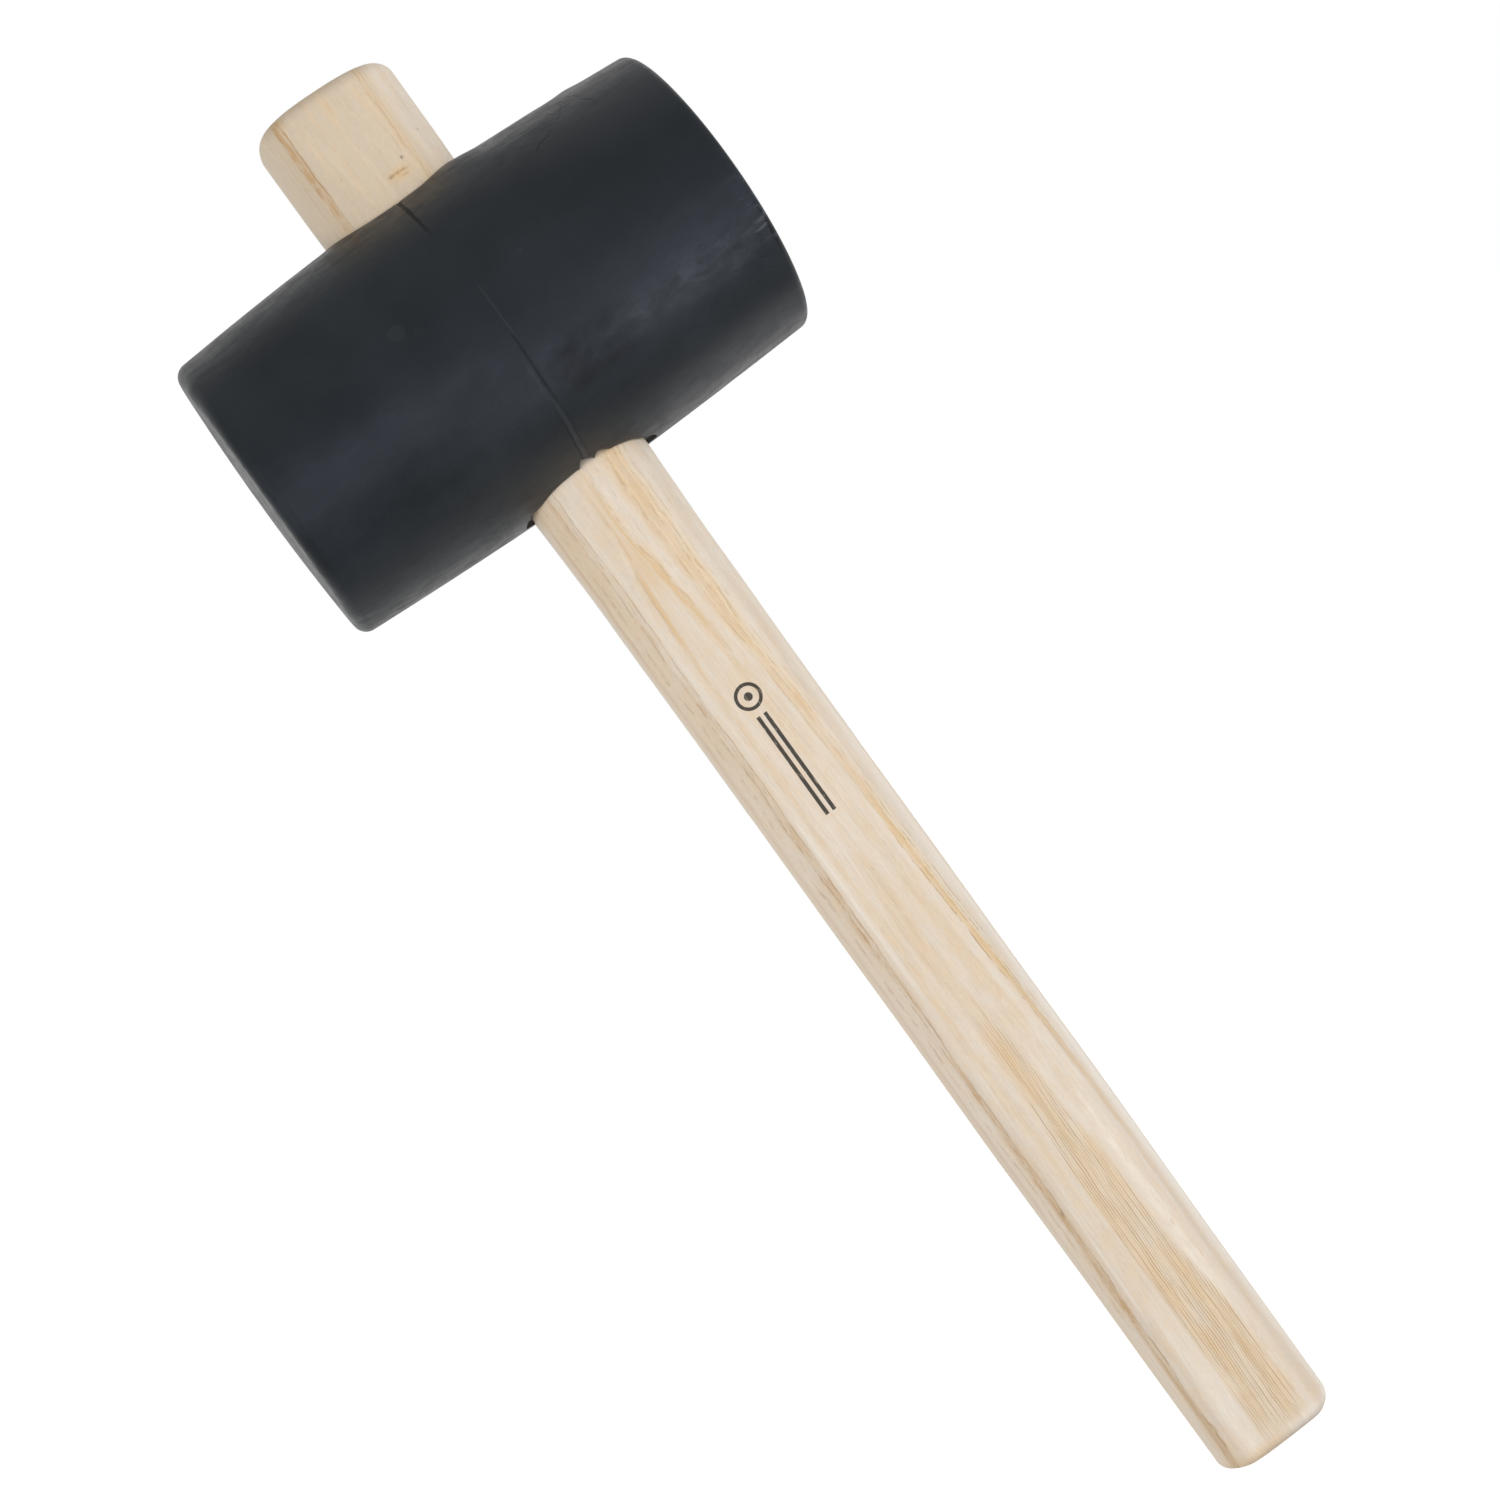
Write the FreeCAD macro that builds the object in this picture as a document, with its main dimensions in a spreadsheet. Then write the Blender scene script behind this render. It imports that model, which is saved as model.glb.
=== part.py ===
import FreeCAD, Part
import Sketcher
import math
import os

# Rubber mallet: a moulded rubber head on a tapered ash handle.
# Frame: origin at the lowest point of the handle's butt end, +Z up the handle
# towards the head, +X along the head's axis to one striking face, +Y across.
# Lengths in millimetres.

# ---------------------------------------------------------------- dimensions
SIZES = {
    # head: barrel of revolution about X, thickest at the middle
    "head_length": 113.0,        # striking face to striking face
    "head_radius": 35.0,         # at the middle
    "head_end_radius": 32.7,     # at the faces, before the rim is rounded
    "rim_round": 2.2,            # rounding of each rim
    "head_height": 274.4,        # head axis above the butt end
    # moulding line: a low bead round the barrel at its middle
    "bead_rise": 0.3,
    "bead_base": 1.1,
    "bead_top": 0.45,
    "bead_root": 0.8,            # how deep the bead's section is buried
    # eye and the handle's taper in it, measured above and below the head axis
    "eye_half_reach": 40.0,
    "eye_low_width": 28.0,
    "eye_low_thick": 25.4,
    "eye_low_corner": 10.6,
    "eye_high_width": 32.3,
    "eye_high_thick": 27.6,
    "eye_high_corner": 11.6,
    # handle
    "handle_length": 336.2,
    "butt_width": 26.5,
    "butt_thick": 22.6,
    "butt_corner": 8.0,
    "grip_low_height": 82.0,
    "grip_low_width": 27.0,
    "grip_low_thick": 22.8,
    "grip_low_corner": 8.0,
    "grip_high_height": 196.0,
    "grip_high_width": 26.9,
    "grip_high_thick": 23.0,
    "grip_high_corner": 8.2,
    "end_crown_radius": 160.0,   # slight dome of both handle ends
    "end_round": 3.4,            # rounding round both handle ends
}

# The handle's sections from butt to top:
# sketch name, prefix of its sizes, expression for its height
STATIONS = [
    ("ButtSection", "butt", "0"),
    ("GripLowSection", "grip_low", "Sizes.grip_low_height"),
    ("GripHighSection", "grip_high", "Sizes.grip_high_height"),
    ("EyeLowSection", "eye_low", "Sizes.head_height - Sizes.eye_half_reach"),
    ("EyeHighSection", "eye_high", "Sizes.head_height + Sizes.eye_half_reach"),
    ("StubSection", "eye_high", "Sizes.handle_length"),
]

# The ring of waste cut away to dome a handle end
WASTE_RADIUS = 24.0              # clears the handle's corners
WASTE_MARGIN = 3.0               # how far it stands beyond the end

# Sketcher's numbers for the points of a piece of geometry, and for the axes
START, END, CENTRE = 1, 2, 3
H_AXIS, V_AXIS = -1, -2
ORIGIN = (H_AXIS, START)

QUARTER = math.pi / 2
Vector = FreeCAD.Vector
Constraint = Sketcher.Constraint

doc = FreeCAD.newDocument("rubber_mallet")


# ------------------------------------------------------------------- helpers
def make_sheet():
    """The spreadsheet of driving dimensions, one alias a row."""
    sheet = doc.addObject("Spreadsheet::Sheet", "Sizes")
    for row, (name, value) in enumerate(SIZES.items(), start=1):
        sheet.set("A%d" % row, name)
        sheet.set("B%d" % row, "%.4f" % value)
        sheet.setAlias("B%d" % row, name)
    doc.recompute()


def new_body(name, label):
    body = doc.addObject("PartDesign::Body", name)
    body.Label = label
    return body


def new_sketch(body, name, role):
    """A sketch on the body's own origin plane with this role."""
    plane = next(item for item in body.Origin.OriginFeatures if item.Role == role)
    sketch = body.newObject("Sketcher::SketchObject", name)
    sketch.AttachmentSupport = [(plane, "")]
    sketch.MapMode = "FlatFace"
    return sketch


def line(x1, y1, x2, y2):
    return Part.LineSegment(Vector(x1, y1, 0), Vector(x2, y2, 0))


def arc(x, y, radius, start, end):
    """An anticlockwise arc about (x, y), its angles in radians."""
    circle = Part.Circle(Vector(x, y, 0), Vector(0, 0, 1), radius)
    return Part.ArcOfCircle(circle, start, end)


def join_ends(sketch, kind, count):
    """Join each of the first pieces of geometry to the next, and the last to the first."""
    for k in range(count):
        sketch.addConstraint(Constraint(kind, k, END, (k + 1) % count, START))


def drive(sketch, name, expression, *definition):
    """Add a dimension, name it and bind it to the spreadsheet."""
    index = sketch.addConstraint(Constraint(*definition))
    sketch.renameConstraint(index, name)
    sketch.setExpression("Constraints." + name, expression)


def rounded_section(body, name, prefix, height):
    """A rounded rectangle across the handle: width along X, thickness along Y."""
    width, thick, corner = (SIZES[prefix + part] for part in ("_width", "_thick", "_corner"))
    sketch = new_sketch(body, name, "XY_Plane")
    sketch.setExpression(".AttachmentOffset.Base.z", height)
    right, top = width / 2, thick / 2
    centre_x, centre_y = right - corner, top - corner
    sketch.addGeometry([
        line(-centre_x, -top, centre_x, -top),
        arc(centre_x, -centre_y, corner, -QUARTER, 0),
        line(right, -centre_y, right, centre_y),
        arc(centre_x, centre_y, corner, 0, QUARTER),
        line(centre_x, top, -centre_x, top),
        arc(-centre_x, centre_y, corner, QUARTER, 2 * QUARTER),
        line(-right, centre_y, -right, -centre_y),
        arc(-centre_x, -centre_y, corner, 2 * QUARTER, 3 * QUARTER),
    ], False)
    join_ends(sketch, "Tangent", 8)
    sketch.addConstraint(Constraint("Horizontal", 0))
    sketch.addConstraint(Constraint("Vertical", 2))
    sketch.addConstraint(Constraint("Equal", 1, 3))
    sketch.addConstraint(Constraint("Equal", 1, 5))
    sketch.addConstraint(Constraint("Symmetric", 1, CENTRE, 5, CENTRE, *ORIGIN))
    # width and thickness are held between the corners' centres
    between = "Sizes.{0}_{1} - 2 * Sizes.{0}_corner"
    drive(sketch, "width", between.format(prefix, "width"),
          "DistanceX", 7, CENTRE, 1, CENTRE, 2 * centre_x)
    drive(sketch, "thick", between.format(prefix, "thick"),
          "DistanceY", 1, CENTRE, 3, CENTRE, 2 * centre_y)
    drive(sketch, "corner", "Sizes.%s_corner" % prefix, "Radius", 1, corner)
    return sketch


def revolve(body, kind, name, sketch, axis):
    """A full turn of a sketch about one of its own axes."""
    feature = body.newObject("PartDesign::" + kind, name)
    feature.Profile = (sketch, [""])
    feature.ReferenceAxis = (sketch, [axis])
    feature.Angle = 360.0
    doc.recompute()
    return feature


def loft(body, kind, name, sections):
    """A ruled loft through the sections in order."""
    doc.recompute()
    feature = body.newObject("PartDesign::" + kind, name)
    feature.Profile = (sections[0], [""])
    feature.Sections = [(section, [""]) for section in sections[1:]]
    feature.Ruled = True
    feature.Closed = False
    doc.recompute()
    return feature


def fillet(body, name, base, is_chosen, radius):
    """Round the chosen edges of the base feature."""
    edges = ["Edge%d" % number for number, edge in enumerate(base.Shape.Edges, start=1)
             if is_chosen(edge)]
    feature = body.newObject("PartDesign::Fillet", name)
    feature.Base = (base, edges)
    feature.setExpression("Radius", radius)
    doc.recompute()
    return feature


def volumes(*features):
    return [feature.Shape.Volume for feature in features]


# ---------------------------------------------------------------------- head
def barrel_profile(body):
    """Half-section of the barrel above the X axis: flat faces, one shallow arc."""
    sketch = new_sketch(body, "BarrelProfile", "XZ_Plane")
    length, end_radius = SIZES["head_length"], SIZES["head_end_radius"]
    half = length / 2
    rise = SIZES["head_radius"] - end_radius
    crown = (half * half + rise * rise) / (2 * rise)
    swing = math.asin(half / crown)
    sketch.addGeometry([
        line(-half, 0, half, 0),
        line(half, 0, half, end_radius),
        arc(0, SIZES["head_radius"] - crown, crown, QUARTER - swing, QUARTER + swing),
        line(-half, end_radius, -half, 0),
    ], False)
    join_ends(sketch, "Coincident", 4)
    sketch.addConstraint(Constraint("Horizontal", 0))
    sketch.addConstraint(Constraint("Vertical", 1))
    sketch.addConstraint(Constraint("Vertical", 3))
    sketch.addConstraint(Constraint("Symmetric", 0, START, 0, END, *ORIGIN))
    sketch.addConstraint(Constraint("Equal", 1, 3))
    drive(sketch, "length", "Sizes.head_length", "DistanceX", 0, START, 0, END, length)
    drive(sketch, "end_radius", "Sizes.head_end_radius",
          "DistanceY", 1, START, 1, END, end_radius)
    drive(sketch, "crown",
          "(Sizes.head_length ^ 2 / 4 + (Sizes.head_radius - Sizes.head_end_radius) ^ 2)"
          " / (2 * (Sizes.head_radius - Sizes.head_end_radius))",
          "Radius", 2, crown)
    return sketch


def bead_profile(body):
    """Section of the moulding line, its root buried in the barrel."""
    sketch = new_sketch(body, "BeadProfile", "XZ_Plane")
    base, top = SIZES["bead_base"], SIZES["bead_top"]
    root = SIZES["head_radius"] - SIZES["bead_root"]
    crest = SIZES["head_radius"] + SIZES["bead_rise"]
    sketch.addGeometry([
        line(-base / 2, root, base / 2, root),
        line(base / 2, root, top / 2, crest),
        line(top / 2, crest, -top / 2, crest),
        line(-top / 2, crest, -base / 2, root),
    ], False)
    join_ends(sketch, "Coincident", 4)
    sketch.addConstraint(Constraint("Symmetric", 0, START, 0, END, V_AXIS))
    sketch.addConstraint(Constraint("Symmetric", 2, START, 2, END, V_AXIS))
    drive(sketch, "base", "Sizes.bead_base", "DistanceX", 0, START, 0, END, base)
    drive(sketch, "top", "Sizes.bead_top", "DistanceX", 2, END, 2, START, top)
    drive(sketch, "root", "Sizes.head_radius - Sizes.bead_root",
          "DistanceY", *ORIGIN, 0, START, root)
    drive(sketch, "crest", "Sizes.head_radius + Sizes.bead_rise",
          "DistanceY", *ORIGIN, 2, START, crest)
    return sketch


def is_rim(edge):
    """A full circle square to X, at either end of the barrel."""
    box = edge.BoundBox
    return abs(box.XLength) < 1e-4 and box.ZLength > SIZES["head_radius"]


def make_head():
    """The rubber head, modelled about the origin and then raised to its height."""
    body = new_body("RubberHead", "rubber_head")
    barrel = revolve(body, "Revolution", "Barrel", barrel_profile(body), "H_Axis")
    rims = fillet(body, "Rims", barrel, is_rim, "Sizes.rim_round")
    bead = revolve(body, "Revolution", "MouldLine", bead_profile(body), "H_Axis")

    # tapered eye, wide end up: the handle is dropped in from the top
    eye = loft(body, "SubtractiveLoft", "Eye", [
        rounded_section(body, "EyeLow", "eye_low", "-Sizes.eye_half_reach"),
        rounded_section(body, "EyeHigh", "eye_high", "Sizes.eye_half_reach"),
    ])

    v_barrel, v_rims, v_bead, v_eye = volumes(barrel, rims, bead, eye)
    if not (v_barrel > v_rims and v_bead > v_rims and v_eye < v_bead):
        raise RuntimeError("a head feature did nothing")

    body.setExpression(".Placement.Base.z", "Sizes.head_height")
    doc.recompute()
    return body


# -------------------------------------------------------------------- handle
def dome_profile(body, name, top):
    """Half-section of the waste outside a shallow dome on one end of the handle."""
    sketch = new_sketch(body, name, "XZ_Plane")
    crown = SIZES["end_crown_radius"]
    swing = math.asin(WASTE_RADIUS / crown)
    sag = crown - math.sqrt(crown * crown - WASTE_RADIUS * WASTE_RADIUS)
    # the arc runs anticlockwise: it ends at the top's apex but starts at the butt's
    if top:
        apex = SIZES["handle_length"]
        outer, foot = apex + WASTE_MARGIN, apex - sag
        dome = arc(0, apex - crown, crown, QUARTER - swing, QUARTER)
        apex_point, foot_point = END, START
    else:
        apex = 0.0
        outer, foot = apex - WASTE_MARGIN, apex + sag
        dome = arc(0, apex + crown, crown, -QUARTER, -QUARTER + swing)
        apex_point, foot_point = START, END
    sketch.addGeometry([
        dome,
        line(0, apex, 0, outer),
        line(0, outer, WASTE_RADIUS, outer),
        line(WASTE_RADIUS, outer, WASTE_RADIUS, foot),
    ], False)
    sketch.addConstraint(Constraint("Coincident", 0, apex_point, 1, START))
    sketch.addConstraint(Constraint("Coincident", 1, END, 2, START))
    sketch.addConstraint(Constraint("Coincident", 2, END, 3, START))
    sketch.addConstraint(Constraint("Coincident", 3, END, 0, foot_point))
    sketch.addConstraint(Constraint("PointOnObject", 1, START, V_AXIS))
    sketch.addConstraint(Constraint("PointOnObject", 0, CENTRE, V_AXIS))
    sketch.addConstraint(Constraint("Vertical", 1))
    sketch.addConstraint(Constraint("Horizontal", 2))
    sketch.addConstraint(Constraint("Vertical", 3))
    sketch.addConstraint(Constraint("DistanceX", 2, START, 2, END, WASTE_RADIUS))
    if top:
        sketch.addConstraint(Constraint("DistanceY", 1, START, 1, END, WASTE_MARGIN))
        drive(sketch, "apex", "Sizes.handle_length", "DistanceY", *ORIGIN, 1, START, apex)
    else:
        sketch.addConstraint(Constraint("DistanceY", 1, END, 1, START, WASTE_MARGIN))
        sketch.addConstraint(Constraint("PointOnObject", 1, START, H_AXIS))
    drive(sketch, "crown", "Sizes.end_crown_radius", "Radius", 0, crown)
    return sketch


def make_handle():
    """The handle: a loft through its stations, both ends domed and rounded over."""
    body = new_body("Handle", "handle")
    shaft = loft(body, "AdditiveLoft", "Shaft",
                 [rounded_section(body, *station) for station in STATIONS])
    stub_dome = revolve(body, "Groove", "StubDome",
                        dome_profile(body, "StubDomeProfile", top=True), "V_Axis")
    butt_dome = revolve(body, "Groove", "ButtDome",
                        dome_profile(body, "ButtDomeProfile", top=False), "V_Axis")

    dome_edges = [edge for face in butt_dome.Shape.Faces
                  if "Sphere" in face.Surface.TypeId
                  for edge in face.OuterWire.Edges]
    ends = fillet(body, "EndRounds", butt_dome,
                  lambda edge: any(edge.isSame(other) for other in dome_edges),
                  "Sizes.end_round")

    v_shaft, v_stub, v_butt, v_ends = volumes(shaft, stub_dome, butt_dome, ends)
    if not (v_shaft > v_stub > v_butt > v_ends):
        raise RuntimeError("a handle feature did nothing")
    return body


# -------------------------------------------------------------------- output
def export(bodies):
    """Stop if any object failed, then write one STEP file for each body."""
    doc.recompute()
    for item in doc.Objects:
        if "Invalid" in item.State or "Error" in item.State:
            raise RuntimeError("%s failed: %s" % (item.Name, item.State))

    os.makedirs("parts", exist_ok=True)
    for body in bodies:
        shape = body.Shape
        if shape.isNull() or not shape.isValid() or len(shape.Solids) != 1:
            raise RuntimeError("bad shape in " + body.Label)
        shape.exportStep("parts/%s.step" % body.Label)


make_sheet()
export([make_head(), make_handle()])
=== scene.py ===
"""Mallet: a black moulded rubber head on a planed ash handle, standing upright on its butt.

The handle runs up z, through the eye of the head, and ends in a short stub above it. The head
lies along x. The printed front of the handle faces -y, towards the camera.
Lengths are millimetres until a mesh is written. "h" is height above the head's axis, so the
butt is at BUTT_H and the stub ends at TOP_H.
"""
import math

import bpy
import numpy as np
from mathutils import Matrix, Vector


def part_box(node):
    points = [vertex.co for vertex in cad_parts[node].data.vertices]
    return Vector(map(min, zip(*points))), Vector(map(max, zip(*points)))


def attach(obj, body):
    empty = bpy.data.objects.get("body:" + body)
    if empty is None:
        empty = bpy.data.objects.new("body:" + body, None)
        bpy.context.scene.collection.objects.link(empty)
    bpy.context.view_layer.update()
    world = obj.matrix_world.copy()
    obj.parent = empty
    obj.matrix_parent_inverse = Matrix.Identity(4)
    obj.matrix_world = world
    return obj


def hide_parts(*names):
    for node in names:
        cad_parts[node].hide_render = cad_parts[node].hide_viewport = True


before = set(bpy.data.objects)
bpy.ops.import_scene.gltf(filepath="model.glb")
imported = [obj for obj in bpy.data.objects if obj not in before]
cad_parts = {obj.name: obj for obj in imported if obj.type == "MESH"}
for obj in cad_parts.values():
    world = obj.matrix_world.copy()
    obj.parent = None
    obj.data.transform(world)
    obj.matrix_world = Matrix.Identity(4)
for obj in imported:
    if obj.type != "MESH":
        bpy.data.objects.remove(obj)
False      # the build is the same in either mode

# ------------------------------------------------------------------ the frame
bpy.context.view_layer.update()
HEAD_LO, HEAD_HI = [np.array(corner) * 1000.0 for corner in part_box("rubber_head")]
HEAD_HALF = float(HEAD_HI[0] - HEAD_LO[0]) / 2.0        # centre to either end, along x
HEAD_Z = float(HEAD_LO[2] + HEAD_HI[2]) / 2.0           # head axis above the butt
BUTT_H = -HEAD_Z
TOP_H = float(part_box("handle")[1][2]) * 1000.0 - HEAD_Z

# how the head sits on the handle: raised, tilted, and drooping towards both ends
HEAD_LIFT = 0.10
HEAD_TILT = 0.0045      # radians
HEAD_DROOP = 0.45       # at DROOP_X from the centre
DROOP_X = 57.0


# -------------------------------------------------------------- fields and noise
def smooth(start, end, value):
    """0 at start, 1 at end, eased between; start may be the larger."""
    t = np.clip((np.asarray(value, float) - start) / (end - start), 0.0, 1.0)
    return t * t * (3.0 - 2.0 * t)


def along(h, stations):
    """Interpolation through (h, value) stations, averaged with shifted copies to ease kinks."""
    heights, values = np.array(sorted(stations), float).T
    h = np.asarray(h, float)
    total = np.interp(h, heights, values) * 2.0
    for shift in (2.0, 4.0):
        total = (total + np.interp(h - shift, heights, values)
                 + np.interp(h + shift, heights, values))
    return total / 6.0


_random = np.random.RandomState(20741)
LATTICE_ORDER = _random.permutation(4096)
LATTICE_VALUES = _random.rand(4096) * 2.0 - 1.0


def value_noise(x, y, z):
    """One smooth octave in -1..1, with a lattice step of 1."""
    x, y, z = np.broadcast_arrays(*[np.asarray(v, float) for v in (x, y, z)])
    xi, yi, zi = [np.floor(v).astype(int) for v in (x, y, z)]
    tx, ty, tz = [t * t * (3 - 2 * t) for t in (x - xi, y - yi, z - zi)]

    def corner(dx, dy, dz):
        key = LATTICE_ORDER[(xi + dx) & 4095]
        key = LATTICE_ORDER[(key + yi + dy) & 4095]
        return LATTICE_VALUES[LATTICE_ORDER[(key + zi + dz) & 4095]]

    def mix(a, b, t):
        return a + (b - a) * t

    def edge(dy, dz):
        return mix(corner(0, dy, dz), corner(1, dy, dz), tx)

    return mix(mix(edge(0, 0), edge(1, 0), ty), mix(edge(0, 1), edge(1, 1), ty), tz)


def noise(x, y, z):
    """Two octaves of value noise in -1..1; one coordinate at least is an array."""
    coarse = value_noise(x, y, z)
    fine = value_noise(x * 2.03 + 17.3, y * 2.03 + 5.1, z * 2.03 - 9.7)
    return (coarse + 0.5 * fine) / 1.5


# ----------------------------------------------------------------- mesh building
class Surface:
    """Points and faces collected ring by ring."""

    def __init__(self):
        self.points = []
        self.faces = []

    def add(self, points):
        first = len(self.points)
        self.points.extend(points)
        return list(range(first, len(self.points)))

    def sleeve(self, ring, following):
        """Quads between two closed rings, each starting along the first ring."""
        for j in range(len(ring)):
            k = (j + 1) % len(ring)
            self.faces.append((ring[j], ring[k], following[k], following[j]))

    def strip(self, ring, following, flip):
        """Quads between two closed rings, each starting across to the second ring."""
        order = -1 if flip else 1
        for j in range(len(ring)):
            k = (j + 1) % len(ring)
            self.faces.append((ring[j], following[j], following[k], ring[k])[::order])


def make_object(name, points, faces, attributes):
    mesh = bpy.data.meshes.new(name)
    mesh.from_pydata([tuple(p) for p in points / 1000.0], [], faces)
    mesh.validate(verbose=False)
    for key, values in attributes.items():
        attribute = mesh.attributes.new(key, "FLOAT", "POINT")
        attribute.data.foreach_set("value", np.asarray(values, np.float32))
    mesh.polygons.foreach_set("use_smooth", [True] * len(mesh.polygons))
    mesh.update()
    obj = bpy.data.objects.new(name, mesh)
    bpy.context.scene.collection.objects.link(obj)
    return obj


# ------------------------------------------------------- section of the handle
# (h, value) stations down the handle
HALF_WIDTH = [      # along x
    (TOP_H, 16.15), (40, 16.15), (-40, 14.0), (-55, 13.62), (-68, 13.67), (-91, 13.56),
    (-109, 13.56), (-139, 13.67), (-163, 13.60), (-194, 13.76), (-231, 13.48), (-249, 13.50),
    (BUTT_H, 13.4)]
HALF_DEPTH = [      # along y
    (TOP_H, 13.8), (40, 13.8), (-40, 12.7), (-70, 11.75), (-110, 11.45), (-194, 11.4),
    (BUTT_H, 11.3)]
OVAL_POWER = [(TOP_H, 2.75), (40, 2.6), (-40, 2.45), (-70, 2.8), (-110, 3.3), (BUTT_H, 3.5)]
FLAT_HALF = [       # half width of the planed front and back
    (TOP_H, 8.0), (-70, 8.6), (-120, 8.3), (-200, 8.6), (BUTT_H, 9.4)]
CREASE_POWER = [    # sharpness of the crease between a flat and a side
    (TOP_H, 10.0), (-60, 10.0), (-120, 15.0), (-200, 20.0), (BUTT_H, 26.0)]
FLAT_BULGE = 420.0  # the flats fall away by x * x / FLAT_BULGE
CENTRE_X = -0.2


def section_radius(angle, h):
    """Distance from the handle's axis to its surface: oval at the head, planed on the grip."""
    angle, h = np.broadcast_arrays(np.asarray(angle, float), np.asarray(h, float))
    width, depth, power, flat, crease = [
        along(h, stations)
        for stations in (HALF_WIDTH, HALF_DEPTH, OVAL_POWER, FLAT_HALF, CREASE_POWER)]
    cos, sin = np.abs(np.cos(angle)), np.abs(np.sin(angle))
    oval = ((cos / width) ** power + (sin / depth) ** power) ** (-1.0 / power)

    # the side is an arc through the edge of the flat
    arc_x = (width * width - flat ** 2 - depth * depth) / (2.0 * (width - flat))
    arc_r = width - arc_x
    low, high = oval * 0.6, oval * 1.5
    for _ in range(34):
        planed = (low + high) / 2.0
        x, y = planed * cos, planed * sin
        face = (y + x * x / FLAT_BULGE) / depth
        side = np.sqrt((x - arc_x) ** 2 + y * y) / arc_r
        level = (face ** crease + side ** crease) ** (1.0 / crease)
        high = np.where(level > 1.0, planed, high)
        low = np.where(level > 1.0, low, planed)
    share = smooth(-48.0, -88.0, h) * 0.92
    return oval * (1.0 - share) + planed * share


# ------------------------------------------------------------------ the handle
HANDLE_SIDES = 288
SHAFT_STEPS = 262
END_DOME_R = 160.0


def handle_angles():
    """Directions spread evenly along a mid-grip outline, closer on the front and back."""
    fine = np.linspace(0, 2 * np.pi, 4001)
    radius = section_radius(fine, -150.0)
    x, y = radius * np.cos(fine), radius * np.sin(fine)
    steps = np.hypot(np.diff(x), np.diff(y)) * (1.0 + 0.25 * (np.abs(y[:-1]) > 8.0))
    length = np.concatenate([[0], np.cumsum(steps)])
    return np.interp(np.linspace(0, length[-1], HANDLE_SIDES + 1)[:-1], length, fine)


def handle_rings(angle):
    """(heights, radii) of each ring, from the middle of the butt to the middle of the stub end."""
    butt_round = 2.5 + 0.65 * np.cos(angle)     # the edges are tighter on one side
    top_round = 3.8 - 0.2 * np.cos(angle)
    butt_r = section_radius(angle, BUTT_H + 4.0)
    top_r = section_radius(angle, TOP_H - 4.0)
    butt_flat, top_flat = butt_r - butt_round, top_r - top_round

    def butt_dome(r):
        return BUTT_H + r * r / (2 * END_DOME_R)

    def top_dome(r):
        return TOP_H - r * r / (2 * END_DOME_R)

    butt_edge, top_edge = butt_dome(butt_flat), top_dome(top_flat)
    low, high = butt_edge + butt_round, top_edge - top_round
    rings = [(butt_dome(s * butt_flat), s * butt_flat) for s in np.linspace(0.06, 1.0, 13)]
    for a in np.radians(np.linspace(90, 0, 10)[1:]):
        rings.append((butt_edge + butt_round * (1 - np.sin(a)),
                      butt_r - butt_round * (1 - np.cos(a))))
    for i in range(1, SHAFT_STEPS):
        t = i / SHAFT_STEPS
        h = low * (1 - t) + high * t
        rings.append((h, section_radius(angle, h)))
    for a in np.radians(np.linspace(0, 90, 12)[:-1]):
        rings.append((top_edge - top_round * (1 - np.sin(a)),
                      top_r - top_round * (1 - np.cos(a))))
    rings += [(top_dome(s * top_flat), s * top_flat) for s in np.linspace(1.0, 0.06, 13)]
    return rings


def build_handle():
    angle = handle_angles()
    h, radius = np.array(handle_rings(angle)).transpose(1, 0, 2)
    x, y = radius * np.cos(angle), radius * np.sin(angle)
    # slow unevenness left by hand finishing, none inside the eye
    uneven = (0.05 * noise(x / 14.0, y / 14.0, h / 60.0)
              + 0.02 * noise(x / 3.0, y / 3.0, h / 40.0)) * smooth(33.0, 37.0, np.abs(h))
    x = x + uneven * np.cos(angle) + CENTRE_X + 0.07 * smooth(-160.0, -250.0, h)
    y = y + uneven * np.sin(angle)
    # neither end is sawn quite square
    z = h + smooth(BUTT_H + 14.0, BUTT_H, h) * (0.30 - 0.010 * np.clip(x, -13.5, 13.5))
    z = z - smooth(TOP_H - 14.0, TOP_H, h) * (0.48 + 0.022 * np.clip(x, -16.0, 16.0))
    points = np.stack([x, y, z + HEAD_Z], -1)

    surface = Surface()
    rings = [surface.add(ring) for ring in points]
    for ring, following in zip(rings, rings[1:]):
        surface.sleeve(ring, following)
    butt, top = rings[0], rings[-1]
    butt_centre, top_centre = surface.add([points[0].mean(axis=0), points[-1].mean(axis=0)])
    for j in range(HANDLE_SIDES):
        k = (j + 1) % HANDLE_SIDES
        surface.faces.append((butt[k], butt[j], butt_centre))
        surface.faces.append((top[j], top[k], top_centre))
    return np.array(surface.points), surface.faces


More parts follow.
